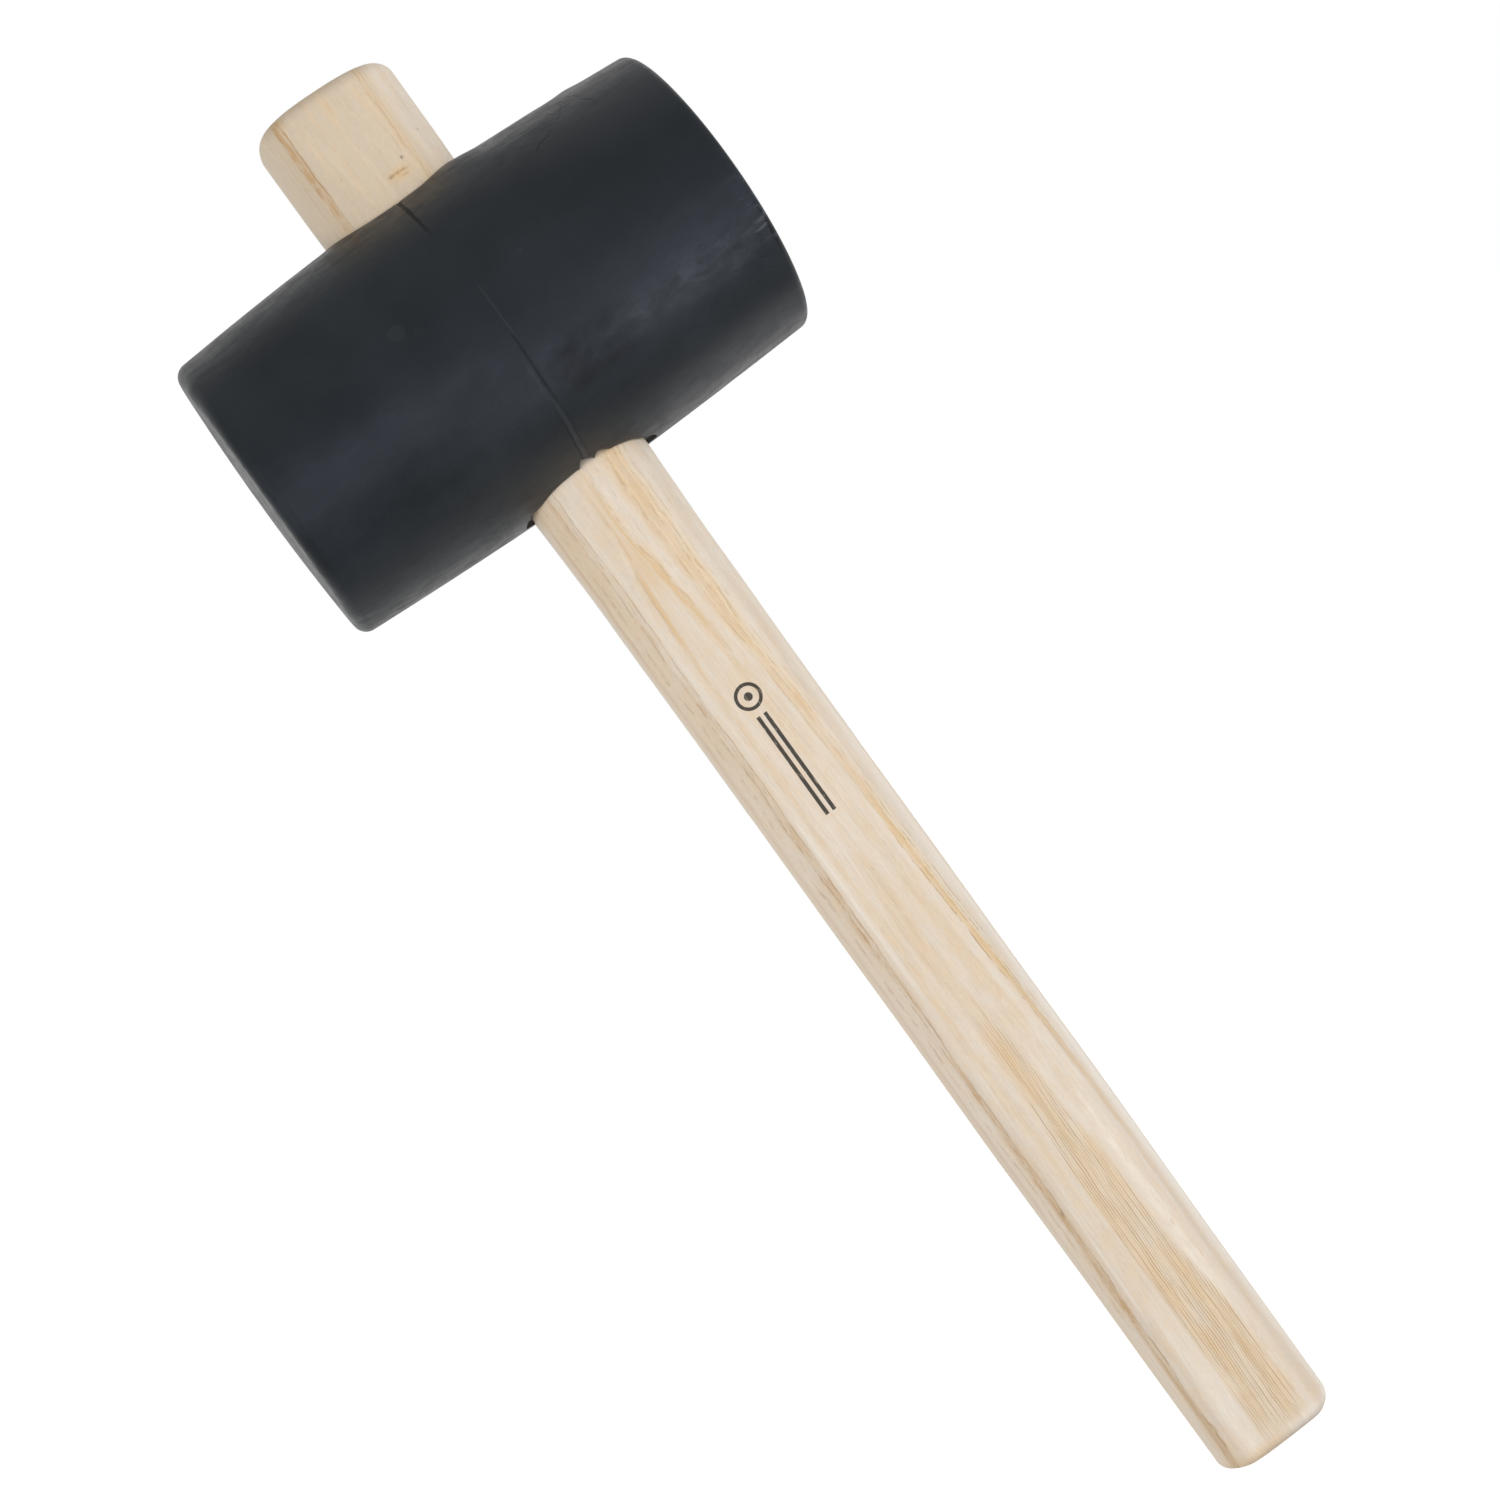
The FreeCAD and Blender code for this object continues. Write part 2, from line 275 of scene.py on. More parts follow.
# ------------------------------------------------------------- grain of the handle
# Growth rings cutting the front face, left to right: (grain coordinate, [(h, x), ...])
GRAIN_LINES = [
    (-18.0, [(64, -18.0), (-277, -18.0)]),
    (-13.6, [(64, -13.7), (-277, -13.7)]),
    (-10.6, [(64, -12.0), (30, -11.6), (-34, -10.6), (-60, -10.2), (-90, -10.2), (-120, -10.3),
             (-150, -10.2), (-172, -10.6), (-210, -11.0), (-240, -11.6), (-277, -12.2)]),
    (-9.1, [(64, -10.9), (48, -10.3), (30, -10.2), (-34, -9.2), (-50, -8.8), (-62, -8.6),
            (-85, -8.9), (-120, -9.0), (-146, -9.4), (-172, -10.0), (-210, -10.4), (-240, -10.9),
            (-277, -11.4)]),
    (-7.4, [(64, -8.4), (-34, -7.4), (-60, -7.3), (-120, -7.7), (-200, -8.6), (-277, -9.0)]),
    (-6.2, [(64, -4.1), (30, -4.0), (-34, -3.6), (-47, -3.4), (-52, -3.9), (-58, -4.9),
            (-66, -5.6), (-80, -6.0), (-95, -6.2), (-125, -6.5), (-160, -7.0), (-200, -7.5),
            (-277, -7.8)]),
    (4.0, [(64, -1.2), (50, -0.7), (30, -1.2), (-34, -1.9), (-47, -2.2), (-52, -1.4),
           (-58, -0.5), (-65, 0.5), (-72, 1.3), (-88, 2.1), (-105, 3.0), (-120, 3.7),
           (-140, 4.3), (-155, 5.0), (-170, 6.0), (-200, 7.3), (-277, 8.0)]),
    (8.0, [(64, 8.6), (50, 8.3), (30, 8.2), (-10, 7.0), (-34, 5.3), (-62, 5.1), (-80, 5.7),
           (-95, 6.4), (-118, 7.3), (-140, 7.7), (-150, 8.1), (-160, 8.5), (-170, 9.1),
           (-180, 9.6), (-195, 10.3), (-235, 10.5), (-277, 10.5)]),
    (13.4, [(64, 15.0), (30, 14.8), (-34, 13.0), (-277, 13.2)]),
    (18.0, [(64, 19.0), (-277, 18.0)]),
]
# Patches on the front: (h, x, half height, half width, amount)
AMBER_PATCHES = [
    (-56, -2.2, 8.0, 1.3, 0.55), (-44, -2.6, 7.0, 1.2, 0.35), (-144, -1.4, 10.0, 1.0, 0.30),
    (-181, -1.1, 11.0, 1.3, 0.62), (-201, -0.6, 6.0, 0.9, 0.42), (-205, 2.5, 7.0, 1.1, 0.36),
    (-211, -3.6, 7.0, 0.8, 0.50), (-235, -2.3, 7.0, 1.0, 0.50), (-237, 2.6, 7.0, 1.1, 0.50),
    (-248, -2.1, 5.0, 0.9, 0.42), (-252, 3.5, 8.0, 1.1, 0.62), (-255, -1.0, 5.0, 0.8, 0.40),
    (-263, -1.6, 4.0, 1.0, 0.35), (-266, 3.5, 6.0, 1.2, 0.52), (56, -0.4, 3.5, 0.8, 0.45),
    (54, 6.1, 3.5, 0.7, 0.50), (60, -10.4, 3.0, 1.0, 0.50), (48, -7.4, 10.0, 0.9, 0.28),
    (37.0, 3.8, 1.1, 1.7, 0.85), (42, -4.4, 5.0, 0.7, 0.25), (-62, -5.2, 8.0, 0.9, 0.35),
    (-58, -0.2, 9.0, 0.9, 0.40), (-68, 1.4, 6.0, 0.7, 0.25), (-38, -2.2, 5.0, 1.2, 0.25),
    (-95, 7.6, 5.0, 0.9, 0.4), (-118, 7.6, 4.0, 0.8, 0.3), (-163, 8.6, 3.0, 0.8, 0.35),
    (-152, -2.8, 8.0, 0.7, 0.2), (-158, -0.9, 6.0, 0.6, 0.2), (-56, -3.2, 6.0, 1.3, 0.30)]
BROWN_PATCHES = [
    (-40, -10.5, 5, 0.5, 0.22), (-47, -9.6, 12, 0.35, 0.18), (-67, -9.8, 4, 0.4, 0.35),
    (-85, -9.7, 6, 0.55, 0.55), (-100, -9.6, 8, 0.6, 0.32), (-117, -9.7, 6, 0.8, 0.42),
    (-131, -9.7, 5, 0.85, 0.46), (-142, -10.2, 6, 0.6, 0.46), (-157, -9.7, 9, 0.5, 0.4),
    (-180, -10.4, 9, 0.6, 0.6), (-198, -10.7, 10, 0.65, 0.62), (-213, -10.8, 8, 0.6, 0.55),
    (-232, -11.2, 11, 0.65, 0.7), (-252, -11.6, 9, 0.6, 0.75), (-267, -11.75, 9, 0.75, 0.85),
    (-258, -11.7, 18, 0.42, 0.35), (60.5, -10.1, 2.2, 0.9, 0.6), (54, -11.4, 9, 0.6, 0.85),
    (43, -11.1, 7, 0.6, 0.6), (33, -11.3, 6, 0.8, 0.4)]
# Pored strip down the middle of the lower grip: its two sides as (h, x), and its strength
PORE_LEFT = [(-122, -2.6), (-135, -4.2), (-165, -3.8), (-190, -3.4), (-205, -4.4),
             (-240, -4.2), (-277, -4.6)]
PORE_RIGHT = [(-122, -0.6), (-135, 0.4), (-165, 1.2), (-190, 2.4), (-205, 3.6), (-226, 4.2),
              (-240, 6.2), (-277, 7.2)]
PORE_LEVEL = [(-118, 0.0), (-130, 0.32), (-150, 0.38), (-164, 0.25), (-174, 0.62),
              (-190, 0.72), (-200, 0.95), (-266, 1.0), (-271, 0.25), (-273, 0.0), (-277, 0.0)]
# Pale streaks on the front, those between x = -7.5 and -9.3 being painted highlights along the
# left ridge: (amount, [(h, x), ...], half width, heights (none, full) of fades)
PALE_STREAKS_AND_RIDGE_HIGHLIGHTS = [
    (0.20, [(0, -7.5)], 0.7, [(-42, -52)]),
    (0.60, [(0, 6.2)], 1.4, [(-186, -200), (-262, -240)]),
    (0.30, [(0, -6.4)], 1.4, [(-196, -206)]),
    (0.25, [(0, -7.9)], 0.45, [(-112, -118), (-160, -154)]),
    (0.90, [(-205, -8.7), (-240, -9.3)], 0.3, [(-203, -212), (-242, -232)]),
    (0.25, [(0, -8.1)], 0.8, [(-34, -40), (-110, -80)]),
]
# painted sheen down the right edge of the front
RIGHT_EDGE_SHEEN = [(-34, 10.4), (-110, 11.2), (-160, 12.3), (-277, 12.8)]     # (h, x)


def across_grain(x, y, h):
    """Coordinate across the grain of the front face."""
    x = x + 0.16 * noise(x / 9.0, y / 9.0, h / 34.0)
    marks = np.array([mark for mark, _ in GRAIN_LINES])
    places = np.stack([along(h, stations) for _, stations in GRAIN_LINES], 0)
    for i in range(1, len(marks)):
        places[i] = np.maximum(places[i], places[i - 1] + 0.35)
    grain = np.full(len(x), marks[0])
    for i in range(len(marks) - 1):
        t = (x - places[i]) / (places[i + 1] - places[i])
        inside = (t >= 0) & (t < 1)
        grain = np.where(inside, marks[i] + t * (marks[i + 1] - marks[i]), grain)
    return np.where(x >= places[-1], marks[-1], grain)


def wood_fields(points):
    """Vertex attributes that the ash material reads."""
    x, y, h = points[:, 0], points[:, 1], points[:, 2] - HEAD_Z
    front = smooth(-1.5, -6.5, y)
    ends = np.maximum(smooth(TOP_H - 1.7, TOP_H - 0.9, h), smooth(BUTT_H + 1.5, BUTT_H + 0.7, h))
    # rings on the sides, back and ends are arcs about a pith behind the handle
    rings = (np.hypot(x + 1.0 - 0.004 * h, y - 21.0) / 1.18
             + 0.45 * noise(x / 8.0, y / 8.0, h / 60.0) + 0.0035 * h)

    def patches(table):
        return sum(amount * front * np.exp(-np.abs((x - x0) / half_x) ** 2.2
                                           - np.abs((h - h0) / half_h) ** 2.4)
                   for h0, x0, half_h, half_x, amount in table)

    def streak(centre, width):
        return front * np.exp(-((x - centre) / width) ** 2)

    def fade(start, end):
        return smooth(start, end, h)

    amber = patches(AMBER_PATCHES)
    amber += 0.62 * fade(BUTT_H + 3.6, BUTT_H + 2.4) * front * smooth(2.0, -4.5, x)
    amber += 0.12 * fade(TOP_H - 3.0, TOP_H - 1.6) * front
    amber += ((0.34 * smooth(-9.4, -10.8, x) + 0.06 * smooth(-11.0, -13.0, x))
              * fade(-150, -60) * fade(-28, -34))

    pore = (smooth(-0.3, 0.7, x - along(h, PORE_LEFT))
            * smooth(-0.3, 0.7, along(h, PORE_RIGHT) - x) * front * along(h, PORE_LEVEL))

    # tone_and_highlight: above 0 is paler, below is duller; it holds tone that varies at random,
    # and painted sheen and highlights
    tone_and_highlight = 0.45 * noise(x / 8.0, y / 8.0, h / 70.0)
    # painted sheen down the right edge of the front, of the stub and of the upper grip
    tone_and_highlight += (0.55 * streak(along(h, RIGHT_EDGE_SHEEN), 1.9) * (0.58 + 0.75 * fade(-100, -190))
             * fade(-30, -40))
    tone_and_highlight += 0.80 * front * smooth(9.0, 12.0, x) * fade(30, 34)
    tone_and_highlight += 0.30 * front * smooth(10.5, 12.6, x) * fade(-32, -38) * fade(-150, -100)
    tone_and_highlight -= 0.98 * fade(28.0, 34.0)
    tone_and_highlight += 0.5 * fade(BUTT_H + 4.5, BUTT_H + 3.0) * front * smooth(-1.0, 5.0, x)
    # pale streaks, with painted highlights along the left ridge
    for amount, stations, width, fades in PALE_STREAKS_AND_RIDGE_HIGHLIGHTS:
        pale = amount * streak(along(h, stations), width)
        for heights in fades:
            pale = pale * fade(*heights)
        tone_and_highlight += pale

    # two small dark marks
    mark = 0.75 * streak(-10.45, 0.28) * np.exp(-((h + 210.0) / 0.6) ** 2)
    mark += 0.22 * streak(8.0, 0.20) * np.exp(-((h + 69.0) / 0.8) ** 2)
    return {"gx": across_grain(x, y, h), "rings": rings, "front": front, "ends": ends,
            "amber": np.clip(amber, 0, 1.2), "pore": np.clip(pore, 0, 1.0),
            "brown": np.clip(patches(BROWN_PATCHES), 0, 1.1), "tone_and_highlight": np.clip(tone_and_highlight, -1, 1),
            "mark": np.clip(mark, 0, 1)}


# -------------------------------------------------------------------- the head
# Directions round the barrel: 0 is the front line, 90 degrees the top, 270 the underside.
# Arc lengths are measured from the front line, + towards the top.
BARREL_R = 35.0
# the two ends differ: -1 is the -x end, 1 the +x end
END_R = {-1: 32.45, 1: 32.95}
FACE_X = {-1: HEAD_HALF - 0.02, 1: HEAD_HALF - 0.18}    # rim planes
CROWN = {-1: 0.85, 1: 0.6}                              # doming of the faces beyond them
RIM_ROUND = {-1: 3.1, 1: 1.85}

HEAD_SIDES = 360
DIRECTIONS = np.arange(HEAD_SIDES) * (2 * np.pi / HEAD_SIDES)
PATCH_HALF_X = 26.0         # the grid gives way to rings round the eye inside this x ...
PATCH_HALF_DEG = 45         # ... and this far either side of top and bottom
# column places, close together at the mould line
SEAM_COLUMNS = [0.12, 0.24, 0.36, 0.48, 0.62, 0.80, 1.05, 1.40, 1.85]
MOUTH_RINGS = 17
EYE_STEPS = 10
EYE_GAP = 0.03              # between the wood and the eye's wall

# Burnished patches, with painted sheen over them: (x, arc, half width, half height, lean, amount)
SCUFFS_AND_SHEEN = [
    (4.6, -12.6, 3.0, 1.8, 0.2, 1.0), (12.6, -16.5, 2.2, 3.4, -0.3, 0.6),
    (33.4, -27.2, 2.4, 4.2, 0.2, 0.5), (42.0, -15.4, 5.5, 1.6, 0.1, 0.8),
    (31.0, -13.4, 6.0, 1.5, 0.2, 0.6), (54.0, -12.0, 2.6, 4.0, 0.0, 0.6),
    (23.0, -17.5, 4.0, 2.2, 0.4, 0.5), (47.0, -21.0, 3.0, 2.6, 0.0, 0.4),
    (-49.0, -3.0, 5.0, 2.6, -0.3, 0.6), (-38.0, -4.5, 6.0, 3.0, -0.2, 0.5),
    (-27.0, -3.0, 5.0, 3.0, 0.2, 0.5), (-7.2, -11.0, 3.6, 3.4, 0.3, 0.7),
    (-14.0, -7.0, 5.0, 3.0, 0.2, 0.4), (22.0, -25.0, 4.0, 1.6, 0.3, 0.3),
    (38.0, -14.0, 12.0, 4.5, 0.1, 0.55), (22.0, -18.0, 7.0, 3.5, 0.2, 0.45),
    (-46.0, -18.0, 5.0, 8.0, 0.2, 0.45)]
# Swellings and a hollow near the top of the +x end: (height, x, arc, half width, half height)
SWELLS = [(0.30, 42.0, 51.0, 2.6, 5.0), (0.10, 33.0, 33.0, 4.0, 3.0),
          (-0.08, 36.5, 38.0, 2.2, 7.0)]
# Torn flash at the front of the lower mouth: x, and how far it stands proud
TEAR_X = [-2.35, -1.9, -1.4, -0.8, 1.45, 1.7, 2.1, 2.6, 3.3, 5.4]
TEAR = [0.0, -0.12, 0.42, 0.95, 0.18, -0.05, 0.45, 0.68, 0.48, 0.0]
TEAR_LEVEL = 32.3           # below the head's axis, where the tear stands from
EYE_FRONT = 12.7 + EYE_GAP  # eye's wall at the front, from the handle's axis


def barrel_r(x):
    end = np.where(np.asarray(x) < 0, END_R[-1], END_R[1])
    return BARREL_R - (BARREL_R - end) * (np.abs(x) / HEAD_HALF) ** 1.7


def front_arc(direction):
    degrees = (np.degrees(direction) + 180.0) % 360.0 - 180.0
    return np.radians(degrees) * BARREL_R


def seam_relief(x, direction):
    """Mould parting line: a shallow crease above, a low flat bead towards the underside."""
    deg = np.degrees(direction) % 360.0
    low = deg > 180.0
    amount = 0.85 + 0.3 * noise(direction * 2.2, 4.0, 0.0)
    under = np.where(low, smooth(332.0, 308.0, deg) * smooth(182.0, 214.0, deg), 0.0)
    upper = np.where(low, 0.0, smooth(30.0, 44.0, deg) * smooth(178.0, 150.0, deg))
    x = x - 0.06 * noise(direction * 3.0, 8.0, 0.0)
    bead = 0.07 * under * np.exp(-np.abs((x - 0.2) / 0.75) ** 4)
    crease = (0.03 + 0.15 * upper) * np.exp(-((x + 0.12) / 0.42) ** 2)
    return amount * (bead - crease * (1 - under))


def swelling(x, direction):
    arc = front_arc(direction)
    out = sum(height * np.exp(-((x - x0) / half_x) ** 2 - ((arc - arc0) / half_arc) ** 2)
              for height, x0, arc0, half_x, half_arc in SWELLS)
    # pushed up along the front edge of the upper mouth, most at the right
    rise = (0.28 * smooth(-19.0, -15.0, x) * smooth(21.0, 16.0, x)
            + 0.42 * np.exp(-((x - 12.4) / 5.1) ** 2))
    return out + rise * np.exp(-((arc - 42.0) / 7.0) ** 2)


def burnish_and_sheen(x, direction):
    """Where handling has burnished the barrel and sheen is painted on it, 0 to 1."""
    arc = front_arc(direction)
    out = 0.0 * x
    for x0, arc0, half_x, half_arc, lean, amount in SCUFFS_AND_SHEEN:
        dx = x - x0
        da = arc - arc0 - lean * dx
        out = np.maximum(out, amount * np.exp(-np.abs(dx / (1.5 * half_x)) ** 2.2
                                              - np.abs(da / (1.4 * half_arc)) ** 2.2))
    return out


def head_points(x, direction):
    """Points on the finished barrel, unevenness and parting line included."""
    r = barrel_r(x)
    y, z = -r * np.cos(direction), r * np.sin(direction)
    uneven = (0.07 * noise(x / 22.0, y / 22.0, z / 22.0)
              + 0.018 * noise(x / 4.0, y / 4.0, z / 4.0))
    off_rim = smooth(HEAD_HALF - 3.0, HEAD_HALF - 7.0, np.abs(x))
    r = r + (uneven + swelling(x, direction)) * off_rim + seam_relief(x, direction)
    return np.stack([x, -r * np.cos(direction), r * np.sin(direction)], -1)


def add_barrel(surface, columns, first, last):
    """The barrel's grid, open round both mouths between two columns; vertices by (column, row)."""
    def open_span(j, low, high):
        top, bottom = 90, 270
        return any(c - PATCH_HALF_DEG + low <= j < c + PATCH_HALF_DEG + high
                   for c in (top, bottom))

    xs, directions = np.meshgrid(columns, DIRECTIONS, indexing="ij")
    points = head_points(xs, directions)
    index = {}
    for i in range(len(columns)):
        for j in range(HEAD_SIDES):
            if not (first < i < last and open_span(j, 1, 0)):
                index[i, j] = surface.add([points[i, j]])[0]
    for i in range(len(columns) - 1):
        for j in range(HEAD_SIDES):
            k = (j + 1) % HEAD_SIDES
            if not (first <= i < last and open_span(j, 0, 0)):
                surface.faces.append((index[i, j], index[i + 1, j], index[i + 1, k], index[i, k]))
    return index


def add_end(surface, ring, side):
    """Rounded rim and domed face at one end, from the barrel's last ring to the centre."""
    rim_x = FACE_X[side] - RIM_ROUND[side]
    rim_r = float(barrel_r(side * rim_x))
    face_r = rim_r - RIM_ROUND[side]
    profile = [(rim_x + RIM_ROUND[side] * math.sin(a), rim_r - RIM_ROUND[side] * (1 - math.cos(a)))
               for a in np.radians(np.linspace(0, 90, 9)[1:])]
    profile += [(FACE_X[side] + CROWN[side] * (1 - s * s), s * face_r)
                for s in np.linspace(1.0, 0.03, 15)[1:]]
    for x, r in profile:
        y, z = -r * np.cos(DIRECTIONS), r * np.sin(DIRECTIONS)
        dent = 0.04 * noise(y / 9.0 + 3.0 * side, z / 9.0, 0.0) * smooth(rim_r, rim_r - 4.0, r)
        following = surface.add(np.stack([side * (x + dent), y, z], -1))
        surface.strip(ring, following, flip=side < 0)
        ring = following
    centre, = surface.add([np.array([side * (FACE_X[side] + CROWN[side]), 0.0, 0.0])])
    for j in range(HEAD_SIDES):
        face = (ring[j], centre, ring[(j + 1) % HEAD_SIDES])
        surface.faces.append(face[::side])


def eye_xy(angle, h, grow=EYE_GAP):
    """Outline of the eye: the handle's section, grown outwards."""
    r = section_radius(angle, h) + grow
    return r * np.cos(angle) + CENTRE_X, r * np.sin(angle)


def lower_lip(angle, eye_x, lip):
    """Lip size, slackness and torn flash of the lower mouth."""
    cos, sin = np.cos(angle), np.sin(angle)
    # tight round the back, slack at the front corner of each narrow side
    lip = np.where(sin > -0.02, 0.40, lip)
    off = np.degrees(np.arctan2(-sin, np.abs(cos)))     # 0 at the side, 90 in front
    gape = smooth(-1.0, 3.0, off) * np.where(cos < 0, smooth(40.0, 18.0, off),
                                             smooth(32.0, 10.0, off))
    lip = lip + np.where(cos < 0, 1.40, 1.50) * gape
    # torn flash where the mould line runs into the mouth
    tear = np.interp(eye_x, TEAR_X, TEAR) * (sin < -0.3)
    level = np.maximum(TEAR_LEVEL - np.maximum(tear, 0.0), 20.0)
    clear = np.sqrt(BARREL_R ** 2 - level ** 2) - EYE_FRONT + 0.1
    lip = np.where(tear > 0.05, np.maximum(lip, clear), lip)
    return lip, gape, np.where(tear > 0.0, tear * 1.35, tear * 2.2)


def add_mouth(surface, index, columns, first, last, top):
    """Rings from the grid's opening in to the eye, and the rounded lip down on to its wall.

    Returns the last ring, with its heights and its angles round the eye.
    """
    side, middle = (1.0, 90) if top else (-1.0, 270)
    step = int(side)
    near, far = middle - step * PATCH_HALF_DEG, middle + step * PATCH_HALF_DEG
    walk = ([(last, j) for j in range(near, far, step)]
            + [(i, far) for i in range(last, first, -1)]
            + [(first, j) for j in range(far, near, -step)]
            + [(i, near) for i in range(first, last)])
    centre = np.pi / 2 if top else 3 * np.pi / 2
    edge_x = np.array([columns[i] for i, j in walk])
    edge_arc = (np.array([DIRECTIONS[j] for i, j in walk]) - centre) * BARREL_R * side
    u, v = edge_x / PATCH_HALF_X, edge_arc / (math.radians(PATCH_HALF_DEG) * BARREL_R)
    angle = np.where(np.abs(u) >= np.abs(v) - 1e-9,
                     np.where(u > 0, v * np.pi / 4, np.pi - v * np.pi / 4),
                     np.where(v > 0, np.pi / 2 - u * np.pi / 4, -np.pi / 2 + u * np.pi / 4))

    # where the eye's wall meets the barrel
    h = side * 33.0
    for _ in range(6):
        x, y = eye_xy(angle, h)
        h = side * np.sqrt(np.maximum(barrel_r(x) ** 2 - y ** 2, 1.0))
    eye_x, eye_y = eye_xy(angle, h)
    lip = 0.85 + 0.22 * noise(np.cos(angle) * 2.0 + (5 if top else 0), np.sin(angle) * 2.0, 0.0)
    gape = tear = np.zeros(len(walk))
    if not top:
        lip, gape, tear = lower_lip(angle, eye_x, lip)

    # rings across the barrel to the edge of the lip
    lip_x, lip_y = eye_xy(angle, h, EYE_GAP + lip)
    lip_direction = np.arccos(np.clip(-lip_y / barrel_r(lip_x), -1, 1))
    if not top:
        lip_direction = 2 * np.pi - lip_direction
    lip_arc = (lip_direction - centre) * BARREL_R * side
    ring = [index[place] for place in walk]
    for i in range(1, MOUTH_RINGS + 1):
        t = i / MOUTH_RINGS
        t = t * (1.0 + 0.35 * (1 - t))
        arc = edge_arc * (1 - t) + lip_arc * t
        start = head_points(edge_x * (1 - t) + lip_x * t, centre + side * arc / BARREL_R)
        following = surface.add(start)
        surface.strip(ring, following, flip=top)
        ring = following

    # the lip; in the slack corners it stands off the wood with an upright wall
    wall_h = h - side * (lip * 1.05) * (1.0 - 0.62 * gape) + np.maximum(tear, 0.0) * 0.8
    wall = np.stack([*eye_xy(angle, wall_h), wall_h], -1)
    corner = np.stack([eye_x, eye_y, h + tear], -1)
    upright = np.stack([start[:, 0], start[:, 1], wall_h], -1)
    corner = corner * (1 - gape[:, None]) + upright * gape[:, None]
    for t in (0.18, 0.36, 0.54, 0.72, 0.86, 1.0):
        following = surface.add(start * (1 - t) ** 2 + 2 * t * (1 - t) * corner + wall * t * t)
        surface.strip(ring, following, flip=top)
        ring = following
    return ring, wall_h, angle


def add_eye_wall(surface, upper, lower):
    ring, top_h, angle = upper
    bottom_ring, bottom_h, _ = lower
    for i in range(1, EYE_STEPS):
        t = i / EYE_STEPS
        h = top_h * (1 - t) + bottom_h * t
        following = surface.add(np.stack([*eye_xy(angle, h), h], -1))
        surface.sleeve(ring, following)
        ring = following
    surface.sleeve(ring, bottom_ring)


def build_head():
    near = SEAM_COLUMNS + list(np.linspace(2.4, PATCH_HALF_X, 37))
    left, right = [near + list(np.linspace(PATCH_HALF_X, FACE_X[side] - RIM_ROUND[side], n))[1:]
                   for side, n in ((-1, 42), (1, 43))]
    columns = np.array([-x for x in left[::-1]] + [0.0] + right)
    first, last = [int(np.argmin(np.abs(columns - x))) for x in (-PATCH_HALF_X, PATCH_HALF_X)]

    surface = Surface()
    index = add_barrel(surface, columns, first, last)
    for side, column in ((-1, 0), (1, len(columns) - 1)):
        add_end(surface, [index[column, j] for j in range(HEAD_SIDES)], side)
    upper, lower = [add_mouth(surface, index, columns, first, last, top)
                    for top in (True, False)]
    add_eye_wall(surface, upper, lower)

    x, y, z = np.array(surface.points).T
    scuffs_and_sheen = burnish_and_sheen(x, np.arctan2(z, -y) % (2 * np.pi)) * smooth(30.0, 32.0, np.hypot(y, z))
    z = z - HEAD_DROOP * (x / DROOP_X) ** 2
    points = np.stack([x - HEAD_TILT * z, y, z + HEAD_TILT * x + (HEAD_Z + HEAD_LIFT)], -1)
    return points, surface.faces, {"scuffs_and_sheen": scuffs_and_sheen}


# ------------------------------------------------------------------ node helpers
def operator(kind, swapped=False):
    """A method that adds one Math node."""
    def apply(self, other=None):
        return self.nodes.math(kind, *((other, self) if swapped else (self, other)))
    return apply


class Value:
    """A node's output, on which arithmetic can be written."""

    def __init__(self, nodes, socket):
        self.nodes = nodes
        self.socket = socket

    __add__, __radd__ = operator("ADD"), operator("ADD", swapped=True)
    __sub__, __rsub__ = operator("SUBTRACT"), operator("SUBTRACT", swapped=True)
    __mul__ = operator("MULTIPLY")
    __truediv__ = operator("DIVIDE")
    __pow__ = operator("POWER")
    __abs__ = operator("ABSOLUTE")


def srgb(*levels):
    """Linear colour from 0..255 display levels."""
    shares = [level / 255.0 for level in levels]
    return (*[c / 12.92 if c <= 0.04045 else ((c + 0.055) / 1.055) ** 2.4 for c in shares], 1.0)


